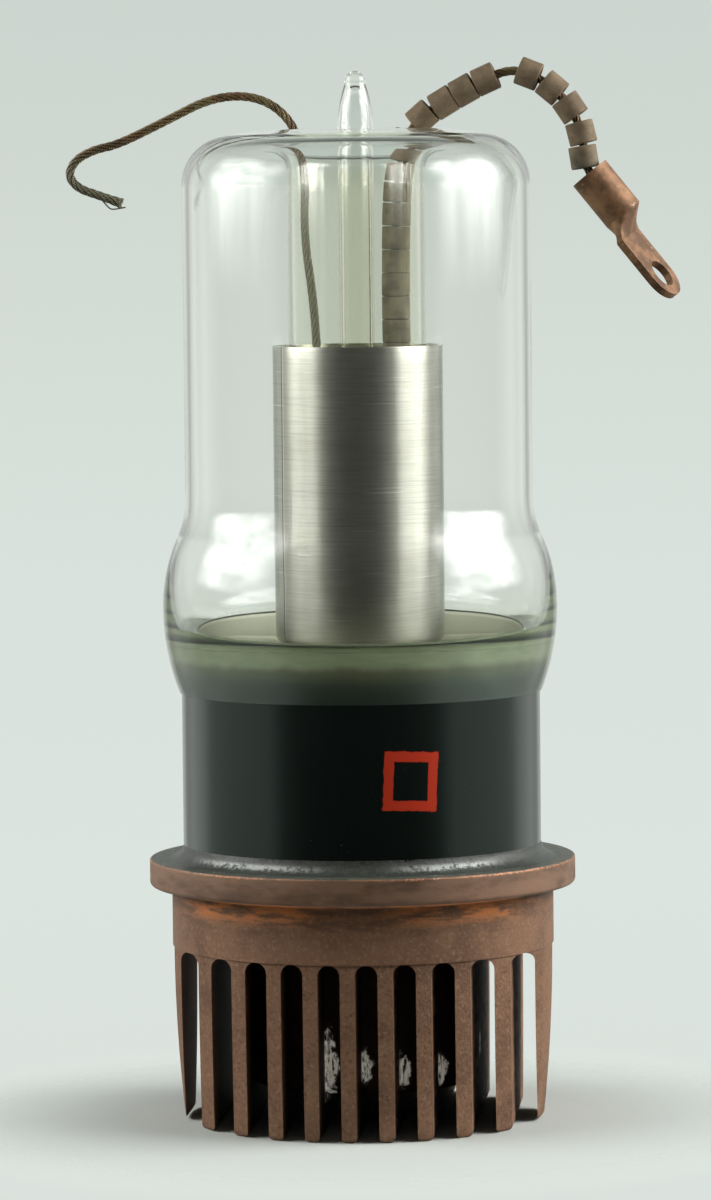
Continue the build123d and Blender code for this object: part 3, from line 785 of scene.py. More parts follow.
@dataclass(frozen=True)
class SheetMetal(Finish):
    """Drawn and polished sheet: fine turning lines and scratches, a lapped seam up its side."""

    name: str = "polished_shield"
    metal: Colour = tone(187, 187, 178)
    dull: Colour = tone(160, 159, 149)
    lines: Colour = tone(120, 117, 108)
    scratched: Colour = tone(236, 234, 228)
    gap: Colour = tone(70, 70, 67)
    lap: Colour = tone(225, 224, 220)
    seam_turn: float = -57.5
    lap_offset: float = 1.4

    def paint(self, desk: NodeDesk) -> None:
        """Lay brushed metal with scratches round it and a seam up its side.

        Args:
            desk: The material's nodes.
        """
        place = desk.place()
        x, y, _ = desk.axes(place)
        turn = desk.turn(x, y)
        fine = desk.cloud(place, 0.22, 2.0, 0.6, 61.0, (0.02, 0.02, 1.0))
        haze = desk.cloud(place, 18.0, 3.0, 0.5, 62.0)
        scratch = desk.cloud(place, 0.5, 0.0, 0.5, 63.0, (0.03, 0.03, 1.0)).rise(0.74, 0.8)
        colour = desk.layers(
            self.metal,
            (haze.rise(0.35, 0.7) * 0.6, self.dull),
            (fine.rise(0.4, 0.7) * 0.3, self.lines),
            (scratch * 0.5, self.scratched),
            (turn.within(self.seam_turn, 0.7, 0.5) * 0.8, self.gap),
            (turn.within(self.seam_turn + self.lap_offset, 0.5, 0.5) * 0.6, self.lap),
        )
        desk.surface(desk.principled(
            base=colour, metallic=1.0, roughness=0.24 + haze * 0.1 + fine * 0.05,
            normal=desk.bump(fine + scratch * 0.8, 0.03, 0.6), anisotropic=0.75,
            anisotropic_turn=0.25,
        ))


@dataclass(frozen=True)
class WireCopper(Finish):
    """Bare stranded copper gone bronze, with olive tarnish, greyed down in the well."""

    name: str = "stranded_copper"
    bronze: Colour = tone(122, 98, 68)
    dark: Colour = tone(72, 57, 41)
    olive: Colour = tone(140, 130, 92)
    grey: Colour = tone(104, 103, 82)
    mouth: Point = (232.0, 222.0)

    def paint(self, desk: NodeDesk) -> None:
        """Lay bronze with dark and olive patches along the strands.

        Args:
            desk: The material's nodes.
        """
        place = desk.place()
        patch = desk.cloud(place, 3.0, 3.0, 0.6, 71.0)
        tarnish = desk.cloud(place, 9.0, 2.0, 0.5, 72.0)
        fine = desk.cloud(place, 0.25, 2.0, 0.6, 73.0)
        well = desk.axes(place)[2].rise(*self.mouth)
        colour = desk.layers(
            self.bronze,
            (patch.rise(0.4, 0.7), self.dark),
            (tarnish.rise(0.42, 0.66) * 0.7, self.olive),
            (well * 0.85, self.grey),
        )
        desk.surface(desk.principled(
            base=colour, metallic=0.4 - well * 0.3, roughness=0.42 + patch * 0.15,
            normal=desk.bump(fine, 0.05, 0.5),
        ))


@dataclass(frozen=True)
class BeadClay(Finish):
    """Unglazed taupe ceramic, darkened in use, with hairline cracks, greyed down in the well."""

    name: str = "bead_ceramic"
    taupe: Colour = tone(136, 117, 92)
    dark: Colour = tone(105, 89, 67)
    pitted: Colour = tone(160, 143, 116)
    cracked: Colour = tone(50, 41, 35)
    grey: Colour = tone(106, 102, 84)
    dark_grey: Colour = tone(76, 73, 59)
    mouth: Point = (231.0, 222.0)

    def paint(self, desk: NodeDesk) -> None:
        """Lay mottled clay with fine pits and cracks.

        Args:
            desk: The material's nodes.
        """
        place = desk.place()
        blotch = desk.cloud(place, 4.5, 3.0, 0.6, 81.0)
        pits = desk.cloud(place, 0.4, 3.0, 0.6, 82.0)
        crack = abs(desk.cloud(place, 3.0, 3.0, 0.6, 83.0) - 0.5).rise(0.008, 0.0)
        well = desk.axes(place)[2].rise(*self.mouth)
        colour = desk.layers(
            self.taupe,
            (blotch.rise(0.35, 0.7), self.dark),
            (pits.rise(0.55, 0.8) * 0.4, self.pitted),
            (crack * 0.6, self.cracked),
            (well * 0.75, desk.blend(blotch.rise(0.4, 0.65), self.grey, self.dark_grey)),
        )
        desk.surface(desk.principled(
            base=colour, roughness=0.78, normal=desk.bump(pits - crack * 0.6, 0.08, 0.6)
        ))


@dataclass(frozen=True)
class LugCopper(Finish):
    """Satin copper of the cable lug, blotched by heat, with shiny worn spots."""

    name: str = "lug_copper"
    copper: Colour = tone(148, 110, 80)
    dark: Colour = tone(100, 72, 50)
    shine: Colour = tone(184, 152, 120)

    def paint(self, desk: NodeDesk) -> None:
        """Lay satin copper with dark blotches and bright rubbed places.

        Args:
            desk: The material's nodes.
        """
        place = desk.place()
        blotch = desk.cloud(place, 5.0, 4.0, 0.6, 91.0)
        rub = desk.cloud(place, 2.0, 3.0, 0.6, 92.0).rise(0.58, 0.72)
        grain = desk.cloud(place, 0.4, 2.0, 0.6, 93.0)
        colour = desk.layers(
            self.copper, (blotch.rise(0.36, 0.6), self.dark), (rub * 0.6, self.shine)
        )
        desk.surface(desk.principled(
            base=colour, metallic=0.45, roughness=0.52 - rub * 0.14 + grain * 0.08,
            normal=desk.bump(grain + blotch, 0.05, 0.5),
        ))


@dataclass(frozen=True)
class PlainMetal(Finish):
    """A turned or drawn inner metal part with fine lines and a little tarnish."""

    name: str = "cathode_metal"
    metal: Colour = tone(168, 166, 160)
    tarnish: Colour = tone(120, 116, 108)
    roughness: float = 0.34

    def paint(self, desk: NodeDesk) -> None:
        """Lay fine lines and a soft tarnish.

        Args:
            desk: The material's nodes.
        """
        place = desk.place()
        haze = desk.cloud(place, 4.0, 3.0, 0.6, 101.0)
        fine = desk.cloud(place, 0.2, 2.0, 0.5, 102.0, (0.1, 0.1, 1.0))
        desk.surface(desk.principled(
            base=desk.blend(haze.rise(0.35, 0.7), self.metal, self.tarnish), metallic=1.0,
            roughness=self.roughness + haze * 0.12, normal=desk.bump(fine, 0.02, 0.5),
        ))


@dataclass(frozen=True)
class WhiteCeramic(Finish):
    """Fired white insulating ceramic with faint specks."""

    name: str = "white_ceramic"
    white: Colour = tone(226, 222, 212)
    speckled: Colour = tone(180, 172, 158)

    def paint(self, desk: NodeDesk) -> None:
        """Lay off-white with specks and a fine tooth.

        Args:
            desk: The material's nodes.
        """
        speck = desk.cloud(desk.place(), 0.5, 2.0, 0.5, 111.0)
        desk.surface(desk.principled(
            base=desk.blend(speck.rise(0.6, 0.8) * 0.3, self.white, self.speckled),
            roughness=0.6, normal=desk.bump(speck, 0.03, 0.5),
        ))


@dataclass(frozen=True)
class FloorPaper(Finish):
    """Pale paper under the object, fading into the room's own colour."""

    name: str = "floor_paper"
    pale: Colour = (0.61, 0.65, 0.62)
    fade_from: float = 42.0
    fade_to: float = 124.0

    def paint(self, desk: NodeDesk) -> None:
        """Lay plain paper that thins out with distance.

        Args:
            desk: The material's nodes.
        """
        place = desk.place()
        x, y, _ = desk.axes(place)
        tooth = desk.cloud(place, 1.2, 2.0, 0.5, 121.0)
        paper = desk.principled(
            base=self.pale, roughness=0.9, specular=0.0, normal=desk.bump(tooth, 0.02, 0.3)
        )
        clear = desk.node("ShaderNodeBsdfTransparent")
        far = desk.reach(x, y).rise(self.fade_from, self.fade_to)
        desk.surface(desk.node("ShaderNodeMixShader", None, {0: far, 1: paper, 2: clear}))


# ---------------------------------------------------------------------------- mesh building


class Outline:
    """A profile in radius and height, in millimetres, drawn with runs and arcs."""

    def __init__(self, radius: float, height: float) -> None:
        """Start at a point."""
        self.points: list[Vector] = [Vector((radius, height))]

    def run(self, radius: float, height: float, parts: int = 1) -> "Outline":
        """Draw straight to a point.

        Args:
            radius: The point's radius.
            height: The point's height.
            parts: How many pieces the run is cut into.

        Returns:
            This outline.
        """
        start, end = self.points[-1].copy(), Vector((radius, height))
        self.points += [start.lerp(end, part / parts) for part in range(1, parts + 1)]
        return self

    @staticmethod
    def _arc(
        start: Vector, heading: Vector, end: Vector, parts: int
    ) -> tuple[list[Vector], Vector]:
        """Work out a tangent arc.

        Args:
            start: Where it starts.
            heading: The direction it starts in.
            end: Where it ends.
            parts: How many pieces it is cut into.

        Returns:
            The points after the start, and the direction at the end.
        """
        chord = end - start
        half = math.atan2(heading.x * chord.y - heading.y * chord.x, heading.dot(chord))
        if abs(half) < 1e-6:
            return [start.lerp(end, part / parts) for part in range(1, parts + 1)], heading
        points = []
        for part in range(1, parts + 1):
            angle = half * part / parts
            length = chord.length * math.sin(angle) / math.sin(half)
            points.append(start + Matrix.Rotation(angle, 2) @ heading.normalized() * length)
        return points, Matrix.Rotation(2 * half, 2) @ heading.normalized()

    def arc(self, radius: float, height: float, heading: Point, parts: int = 12) -> "Outline":
        """Draw an arc that starts in a direction.

        Args:
            radius: The end's radius.
            height: The end's height.
            heading: The direction at the start.
            parts: How many pieces it is cut into.

        Returns:
            This outline.
        """
        end = Vector((radius, height))
        self.points += self._arc(self.points[-1], Vector(heading), end, parts)[0]
        return self

    def arc_in(self, radius: float, height: float, heading: Point, parts: int = 12) -> "Outline":
        """Draw an arc that ends in a direction.

        Args:
            radius: The end's radius.
            height: The end's height.
            heading: The direction at the end.
            parts: How many pieces it is cut into.

        Returns:
            This outline.
        """
        end = Vector((radius, height))
        start = self.points[-1].copy()
        back = self._arc(end, -Vector(heading), start, parts)[0]
        self.points += [*reversed(back[:-1]), end]
        return self

    def sway(self, radius: float, height: float, share: float, parts: int = 14) -> "Outline":
        """Draw two arcs that are upright at both ends.

        Args:
            radius: The end's radius.
            height: The end's height.
            share: Where the turn lies, from the lower end to the upper.
            parts: How many pieces each arc is cut into.

        Returns:
            This outline.
        """
        start, end = self.points[-1].copy(), Vector((radius, height))
        up = end.y > start.y
        turn = start.lerp(end, share if up else 1.0 - share)
        first, heading = self._arc(start, Vector((0.0, 1.0 if up else -1.0)), turn, parts)
        second, _ = self._arc(turn, heading, end, parts)
        self.points += first + second
        return self

    def corner(self, corner: Point, end: Point, radius: float, parts: int = 14) -> "Outline":
        """Run towards a corner, round it, and go on towards a point without drawing to it.

        Args:
            corner: The sharp corner.
            end: The point beyond it.
            radius: The rounding's radius.
            parts: How many pieces the rounding is cut into.

        Returns:
            This outline.
        """
        here, sharp, there = self.points[-1].copy(), Vector(corner), Vector(end)
        back, on = (here - sharp).normalized(), (there - sharp).normalized()
        reach = radius / math.tan(back.angle(on) / 2)
        self.run(*(sharp + back * reach))
        self.points += self._arc(self.points[-1], -back, sharp + on * reach, parts)[0]
        return self

    def lathe(self, name: str, segments: int = 256, sharp: float = 40.0) -> bpy.types.Object:
        """Turn the closed outline round the axis.

        Args:
            name: The piece's name.
            segments: How many steps go round.
            sharp: The angle in degrees above which an edge stays sharp.

        Returns:
            The piece.
        """
        kept = [self.points[0]]
        for point in self.points[1:]:
            if (point - kept[-1]).length > 1e-4:
                kept.append(point)
        if (kept[0] - kept[-1]).length < 1e-4:
            kept.pop()
        vertices = []
        for step in range(segments):
            angle = 2 * math.pi * step / segments
            for point in kept:
                vertices.append(
                    (point.x * math.sin(angle) * MM, -point.x * math.cos(angle) * MM, point.y * MM)
                )
        return mesh_piece(name, vertices, ring_faces(segments, len(kept)), sharp)


def ring_faces(segments: int, count: int) -> list[tuple[int, ...]]:
    """Join the copies of a closed profile that stand round in a ring.

    Args:
        segments: How many copies there are.
        count: How many corners each has.

    Returns:
        The faces.
    """
    faces: list[tuple[int, ...]] = []
    for step in range(segments):
        here, there = step * count, ((step + 1) % segments) * count
        for place in range(count):
            after = (place + 1) % count
            faces.append((here + place, there + place, there + after, here + after))
    return faces


def mesh_piece(
    name: str, vertices: Sequence[Place], faces: Sequence[Sequence[int]], sharp: float = 40.0
) -> bpy.types.Object:
    """Make a smooth-shaded piece with its normals outwards.

    Args:
        name: The piece's name.
        vertices: Its corners in metres.
        faces: Its faces.
        sharp: The angle in degrees above which an edge stays sharp.

    Returns:
        The piece, in the scene.
    """
    mesh = bpy.data.meshes.new(name)
    mesh.from_pydata([tuple(vertex) for vertex in vertices], [], faces)
    work = bmesh.new()
    work.from_mesh(mesh)
    bmesh.ops.remove_doubles(work, verts=work.verts, dist=1e-7)
    bmesh.ops.recalc_face_normals(work, faces=work.faces)
    work.to_mesh(mesh)
    work.free()
    mesh.shade_smooth()
    mesh.set_sharp_from_angle(angle=math.radians(sharp))
    piece = bpy.data.objects.new(name, mesh)
    bpy.context.scene.collection.objects.link(piece)
    return piece


class Line:
    """A smooth line with a steady frame at each point, in metres."""

    def __init__(self, points: Sequence[Vector]) -> None:
        """Work out lengths, directions and frames that don't twist.

        Args:
            points: The line's points.
        """
        self.points = list(points)
        self.stations = [0.0]
        for before, after in zip(self.points, self.points[1:]):
            self.stations.append(self.stations[-1] + (after - before).length)
        last = len(self.points) - 1
        self.headings = [
            (self.points[min(i + 1, last)] - self.points[max(i - 1, 0)]).normalized()
            for i in range(last + 1)
        ]
        self.sides = [self.headings[0].orthogonal().normalized()]
        for before, after in zip(self.headings, self.headings[1:]):
            side = before.rotation_difference(after) @ self.sides[-1]
            self.sides.append((side - after * side.dot(after)).normalized())

    @property
    def length(self) -> float:
        """Give the whole length."""
        return self.stations[-1]

    def at(self, station: float) -> tuple[Vector, Vector, Vector]:
        """Give the frame at a length along the line.

        Args:
            station: The length from the start.

        Returns:
            The point, the direction and the side.
        """
        place = 0
        while place < len(self.stations) - 2 and self.stations[place + 1] < station:
            place += 1
        span = self.stations[place + 1] - self.stations[place]
        share = (station - self.stations[place]) / span
        point = self.points[place].lerp(self.points[place + 1], share)
        heading = self.headings[place].lerp(self.headings[place + 1], share).normalized()
        side = self.sides[place].lerp(self.sides[place + 1], share).normalized()
        return point, heading, side

    def helix(
        self, reach: Callable[[float], float], pitch: float, phase: float, step: float
    ) -> "Line":
        """Wind a line round this one.

        Args:
            reach: The distance from this line at a length along it.
            pitch: The length of one turn.
            phase: The angle it starts at.
            step: The length between its points.

        Returns:
            The wound line.
        """
        count = max(2, round(self.length / step))
        points = []
        for i in range(count + 1):
            station = self.length * i / count
            point, heading, side = self.at(station)
            angle = phase + 2 * math.pi * station / pitch
            across = heading.cross(side)
            out = side * math.cos(angle) + across * math.sin(angle)
            points.append(point + out * reach(station))
        return Line(points)

    def tube(self, radius: float, sides: int) -> Shell:
        """Sweep a round section along the line, closed at both ends.

        Args:
            radius: The section's radius.
            sides: How many corners the section has.

        Returns:
            The corners and the faces.
        """
        vertices, faces = [], []
        for point, heading, side in zip(self.points, self.headings, self.sides):
            across = heading.cross(side)
            for corner in range(sides):
                angle = 2 * math.pi * corner / sides
                offset = side * math.cos(angle) + across * math.sin(angle)
                vertices.append(point + offset * radius)
        for ring in range(len(self.points) - 1):
            for corner in range(sides):
                after = (corner + 1) % sides
                low, high = ring * sides, (ring + 1) * sides
                faces.append((low + corner, low + after, high + after, high + corner))
        last = (len(self.points) - 1) * sides
        faces.append(tuple(reversed(range(sides))))
        faces.append(tuple(range(last, last + sides)))
        return vertices, faces


def join_shells(shells: Sequence[Shell]) -> Shell:
    """Put several shells into one list of corners and faces.

    Args:
        shells: Corners and faces of each shell.

    Returns:
        All corners and faces.
    """
    vertices: list[Vector] = []
    faces: list[tuple[int, ...]] = []
    for points, sides in shells:
        base = len(vertices)
        vertices += points
        faces += [tuple(base + index for index in face) for face in sides]
    return vertices, faces


def dress(piece: bpy.types.Object, finish: Finish) -> bpy.types.Object:
    """Give a piece one finish.

    Args:
        piece: The piece.
        finish: Its finish.

    Returns:
        The piece.
    """
    piece.data.materials.clear()
    piece.data.materials.append(finish.material())
    return piece


def stand_for(piece: bpy.types.Object, slot: str, *nodes: str) -> bpy.types.Object:
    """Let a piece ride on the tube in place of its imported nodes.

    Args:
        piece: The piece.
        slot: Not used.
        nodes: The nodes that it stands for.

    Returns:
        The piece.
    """
    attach(piece, "root")
    if nodes:
        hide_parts(*nodes)
    LOG.info("%s: %d faces", piece.name, len(piece.data.polygons))
    return piece


# ---------------------------------------------------------------------------- sub-assemblies


@dataclass
class AnodeBody:
    """The finned radiator, its flange, the braze under it, the cup and the solder above."""

    flange_radius: float = 50.2
    flange_bottom: float = 55.5
    flange_top: float = 61.8
    lower_round: float = 1.0
    upper_round: float = 0.5
    bore: float = 23.6
    band_radius: float = 45.0
    seam: float = 0.9
    skirt_radius: float = 42.2
    solder: float = 3.4
    ripples: tuple[Point, ...] = ((140.0, 0.16), (420.0, 0.06))
    still: float = 0.05

    def build(self) -> None:
        """Build the turned rings and dress the castings."""
        self.build_flange()
        self.build_seam()
        self.build_solder()
        dress(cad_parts["radiator"], CastCopper())
        dress(
            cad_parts["anode_cup"],
            PlainMetal("anode_copper", tone(190, 120, 90), tone(128, 80, 60), 0.45),
        )

    def build_flange(self) -> None:
        """Turn the flange with both its outer edges rounded."""
        low, high, rim = self.flange_bottom, self.flange_top, self.flange_radius
        under, over = self.lower_round, self.upper_round
        outline = Outline(self.bore, low).run(rim - under, low, 6)
        outline.arc(rim, low + under, (1, 0), 8).run(rim, high - over, 3)
        outline.arc(rim - over, high, (0, 1), 6).run(self.bore, high, 6)
        flange = dress(outline.lathe("copper_flange", 256), FlangeCopper())
        stand_for(flange, "flange_copper", "mounting_flange")

    def build_seam(self) -> None:
        """Run the braze round the corner under the flange."""
        low, rim, size = self.flange_bottom, self.band_radius, self.seam
        outline = Outline(rim, low - size).arc(rim + size, low, (0.35, 1), 5)
        outline.run(rim, low)
        seam = dress(outline.lathe("braze_line", 256), BrazedSeam())
        stand_for(seam, "braze_copper", "braze_seam")

    def build_solder(self) -> None:
        """Run the solder round the foot of the skirt, a little uneven as it froze."""
        foot, rim, size = self.flange_top, self.skirt_radius, self.solder
        outline = Outline(rim + size, foot).arc_in(rim, foot + size, (-0.1, 1), 12)
        outline.run(rim, foot)
        piece = outline.lathe("solder_run", 320, 60.0)
        for vertex in piece.data.vertices:
            out = vertex.co.xy.length / MM
            if out > rim + self.still and vertex.co.z / MM > foot + self.still:
                wave = sum(noise.noise(vertex.co * fine) * tall for fine, tall in self.ripples)
                vertex.co.xy *= (out + wave) / out
        stand_for(dress(piece, LacqueredSolder()), "lacquered_solder", "solder_fillet")


@dataclass
class Skirt:
    """The black sleeve, drawn in to a thin rim where the glass is sealed over it."""

    radius: float = 42.2
    wall: float = 1.1
    foot: float = 61.8
    shell_top: float = 104.0
    rim_radius: float = 39.4
    rim_z: float = 113.4
    rim_wall: float = 0.6
    seal_share: float = 0.95

    def build(self) -> None:
        """Turn the sleeve and lacquer it."""
        inner, rim_inner = self.radius - self.wall, self.rim_radius - self.rim_wall
        outline = Outline(self.radius, self.foot).run(self.radius, self.shell_top, 12)
        outline.sway(self.rim_radius, self.rim_z, self.seal_share).run(rim_inner, self.rim_z)
        outline.sway(inner, self.shell_top, 1.0 - self.seal_share).run(inner, self.foot, 12)
        skirt = dress(outline.lathe("lacquered_skirt", 256), BlackLacquer())
        stand_for(skirt, "black_lacquer", "seal_skirt")


@dataclass
class GlassBulb:
    """The bulb with its re-entrant well, blown and sealed as one, and the pumping tube."""

    seal_radius: float = 42.15
    lip_z: float = 101.0
    lip_radius: float = 42.72
    bulge: Point = (46.4, 121.0)
    neck_radius: float = 40.9
    neck_z: float = 146.5
    neck_bore: float = 39.4
    cavity: Point = (44.2, 125.0)
    heel: Point = (43.3, 117.0)
    seal_line: Point = (39.49, 112.93)
    seal_length: float = 3.0
    ring_radius: float = 24.0
    ring_z: float = 232.35
    slope: float = 8.0
    crown_wall: float = 1.9
    shoulder: float = 11.5
    well_bore: float = 14.7
    well_wall: float = 1.6
    well_foot: float = 118.03
    roll: float = 7.5
    pump_radius: float = 4.1
    pump_bore: float = 3.0
    pump_foot: float = 118.03
    pump_shoulder: float = 233.0
    tip_length: float = 13.3
    tip_wall: float = 3.6
    tip_waist: Point = (0.58, 0.78)
    hollow_end: Point = (1.5, 1.7)
    bulge_share: float = 0.64
    cavity_share: float = 0.6
    mouth_depth: float = 14.0

    def crown(self, radius: float, depth: float = 0.0) -> float:
        """Give the crown's height over a radius.

        Args:
            radius: The radius.
            depth: How far below the outer face.

        Returns:
            The height.
        """
        slope = math.radians(self.slope)
        drop = (radius - self.ring_radius) * math.tan(slope)
        return self.ring_z - drop - depth / math.cos(slope)

    def heel_slope(self) -> Point:
        """Give the direction in which the inside's lower wall reaches the heel.

        Returns:
            The direction, as a step in radius and a step in height.
        """
        lean = 2.0 * math.atan2(self.cavity[0] - self.heel[0], self.cavity[1] - self.heel[1])
        return -math.sin(lean), -math.cos(lean)

    def build(self) -> None:
        """Blow the bulb with its well, draw the pumping tube and dress the stem."""
        self.build_bulb()
        self.build_pumping_tube()
        dress(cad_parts["glass_stem"], ClearGlass("stem_glass"))

    def build_bulb(self) -> None:
        """Turn the bulb and the well as one wall of glass."""
        wall, bore, outer = self.crown_wall, self.well_bore, self.well_bore + self.well_wall
        ring, under = self.ring_radius, self.crown(self.ring_radius, self.crown_wall)
        outline = Outline(self.seal_radius, self.lip_z).run(self.lip_radius, self.lip_z)
        outline.arc_in(*self.bulge, (0, 1), 24)
        outline.sway(self.neck_radius, self.neck_z, self.bulge_share, 16)
        outline.corner(
            (self.neck_radius, self.crown(self.neck_radius)), (ring, self.ring_z), self.shoulder, 24
        )
        outline.run(ring, self.ring_z, 6)
        outline.corner((bore, self.crown(bore)), (bore, self.well_foot), self.roll, 20)
        outline.run(bore, self.well_foot, 40).run(outer, self.well_foot)
        inner_roll, mouth = self.roll - self.well_wall, self.crown(outer, wall)
        outline.run(outer, mouth - self.mouth_depth, 40)
        outline.corner((outer, mouth), (ring, under), inner_roll, 20)
        outline.run(ring, under)
        inner_shoulder = self.shoulder - (self.neck_radius - self.neck_bore)
        outline.corner(
            (self.neck_bore, self.crown(self.neck_bore, wall)), (self.neck_bore, self.neck_z),
            inner_shoulder, 24,
        )
        outline.run(self.neck_bore, self.neck_z, 40).sway(*self.cavity, self.cavity_share, 16)
        outline.arc(*self.heel, (0, -1), 12).arc(*self.seal_line, self.heel_slope(), 20)
        outline.arc_in(self.seal_radius, self.lip_z + self.seal_length, (0, -1), 12)
        outline.run(self.seal_radius, self.lip_z)
        bulb = dress(outline.lathe("glass_bulb", 288, 50.0), ClearGlass())
        stand_for(bulb, "clear_glass", "glass_envelope", "reentrant_tube")

    def build_pumping_tube(self) -> None:
        """Draw the thin tube up the well to its sealed tip."""
        high = self.pump_shoulder
        tip, hollow = high + self.tip_length, high + self.tip_length - self.tip_wall
        waist, rise = self.tip_waist
        across, drop = self.hollow_end
        outline = Outline(self.pump_bore, self.pump_foot)
        outline.run(self.pump_radius, self.pump_foot).run(self.pump_radius, high, 40)
        outline.arc(waist * self.pump_radius, high + rise * self.tip_length, (0, 1), 14)
        outline.arc_in(0.0, tip, (-1, 0), 12)
        outline.run(0.0, hollow).arc(across, hollow - drop, (1, 0), 8)
        outline.arc_in(self.pump_bore, high, (0, -1), 14)
        outline.run(self.pump_bore, self.pump_foot, 40)
        tube = dress(outline.lathe("pumping_tube", 96, 50.0), ClearGlass("tip_glass"))
        stand_for(tube, "tip_glass", "exhaust_tube")


@dataclass
class CathodeMount:
    """The polished shield and everything it hides: rods, spacer, hook and filament."""

    shield_radius: float = 20.0
    shield_wall: float = 0.6
    shield_bottom: float = 86.4
    shield_top: float = 182.0
    edge: float = 0.12
    inner_parts: tuple[tuple[Finish, tuple[str, ...]], ...] = (
        (SheetMetal("shield_sheet"), ("shield_base",)),
        (WhiteCeramic(), ("shield_bushing", "ceramic_spacer")),
        (
            PlainMetal(),
            (
                "rod_couplers", "left_support_rod", "right_support_rod", "spacer_collars",
                "center_rod", "filament_hook", "left_filament_clamp", "right_filament_clamp",
            ),
        ),
        (
            PlainMetal("pin_metal", tone(150, 146, 138), tone(104, 98, 90), 0.38),
            ("left_seal_pin", "right_seal_pin"),
        ),
        (
            PlainMetal("ferrule_metal", tone(176, 120, 92), tone(118, 82, 64), 0.42),
            ("left_ferrule", "right_ferrule"),
        ),
        (PlainMetal("tungsten_wire", tone(112, 112, 112), tone(80, 80, 82), 0.4), ("filament",)),
    )

    def build(self) -> None:
        """Draw the shield and dress the parts inside it."""
        out, inn, soft = self.shield_radius, self.shield_radius - self.shield_wall, self.edge
        low, high = self.shield_bottom, self.shield_top
        outline = Outline(out, low).run(out, high - soft, 30).arc(out - soft, high, (0, 1), 4)
        outline.run(inn + soft, high).arc(inn, high - soft, (-1, 0), 4).run(inn, low, 30)
        shield = dress(outline.lathe("drawn_shield", 256), SheetMetal())
        stand_for(shield, "polished_shield", "shield_cylinder")
        for finish, names in self.inner_parts:
            for name in names:
                dress(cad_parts[name], finish)


@dataclass
class StrandedLead:
    """A free lead: strands twisted round a core strand, along one smooth line."""

    name: str
    route: Sequence[Place]
    strand_radius: float = 0.33
    lay_radius: float = 0.72
    lay_length: float = 11.5
    strands: int = 6
    step: float = 0.45
    splay: float = 0.0
    splay_length: float = 4.0

    def line(self) -> Line:
        """Read the smooth line that the route's points pull.

        Returns:
            The line.
        """
        data = bpy.data.curves.new(self.name + "_line", "CURVE")
        data.dimensions = "3D"
        data.resolution_u = 24
        spline = data.splines.new("NURBS")
        spline.points.add(len(self.route) - 1)
        for point, place in zip(spline.points, self.route):
            point.co = (place[0] * MM, place[1] * MM, place[2] * MM, 1.0)
        spline.order_u = 3
        spline.use_endpoint_u = True
        guide = bpy.data.objects.new(self.name + "_line", data)
        bpy.context.scene.collection.objects.link(guide)
        bpy.context.view_layer.update()
        mesh = bpy.data.meshes.new_from_object(guide)
        points = [vertex.co.copy() for vertex in mesh.vertices]
        bpy.data.meshes.remove(mesh)
        bpy.data.objects.remove(guide)
        bpy.data.curves.remove(data)
        return Line(points)

    def build(self, line: Line) -> bpy.types.Object:
        """Twist the strands along the line.

        Args:
            line: The line that they follow.

        Returns:
            The lead.
        """
        def reach(station: float) -> float:
            """Give the outer strands' distance from the line, more where they splay.

            Args:
                station: The length along the line.

            Returns:
                The distance.
            """
            left = (line.length - station) / MM
            loose = max(0.0, 1.0 - left / self.splay_length)
            return (self.lay_radius + self.splay * loose * loose) * MM

        thin = self.strand_radius * MM
        shells = [line.tube(thin, 8)]
        for strand in range(self.strands):
            phase = 2 * math.pi * strand / self.strands
            wound = line.helix(reach, self.lay_length * MM, phase, self.step * MM)
            shells.append(wound.tube(thin, 10))
        lead = mesh_piece(self.name, *join_shells(shells), 50.0)
        return dress(lead, WireCopper())


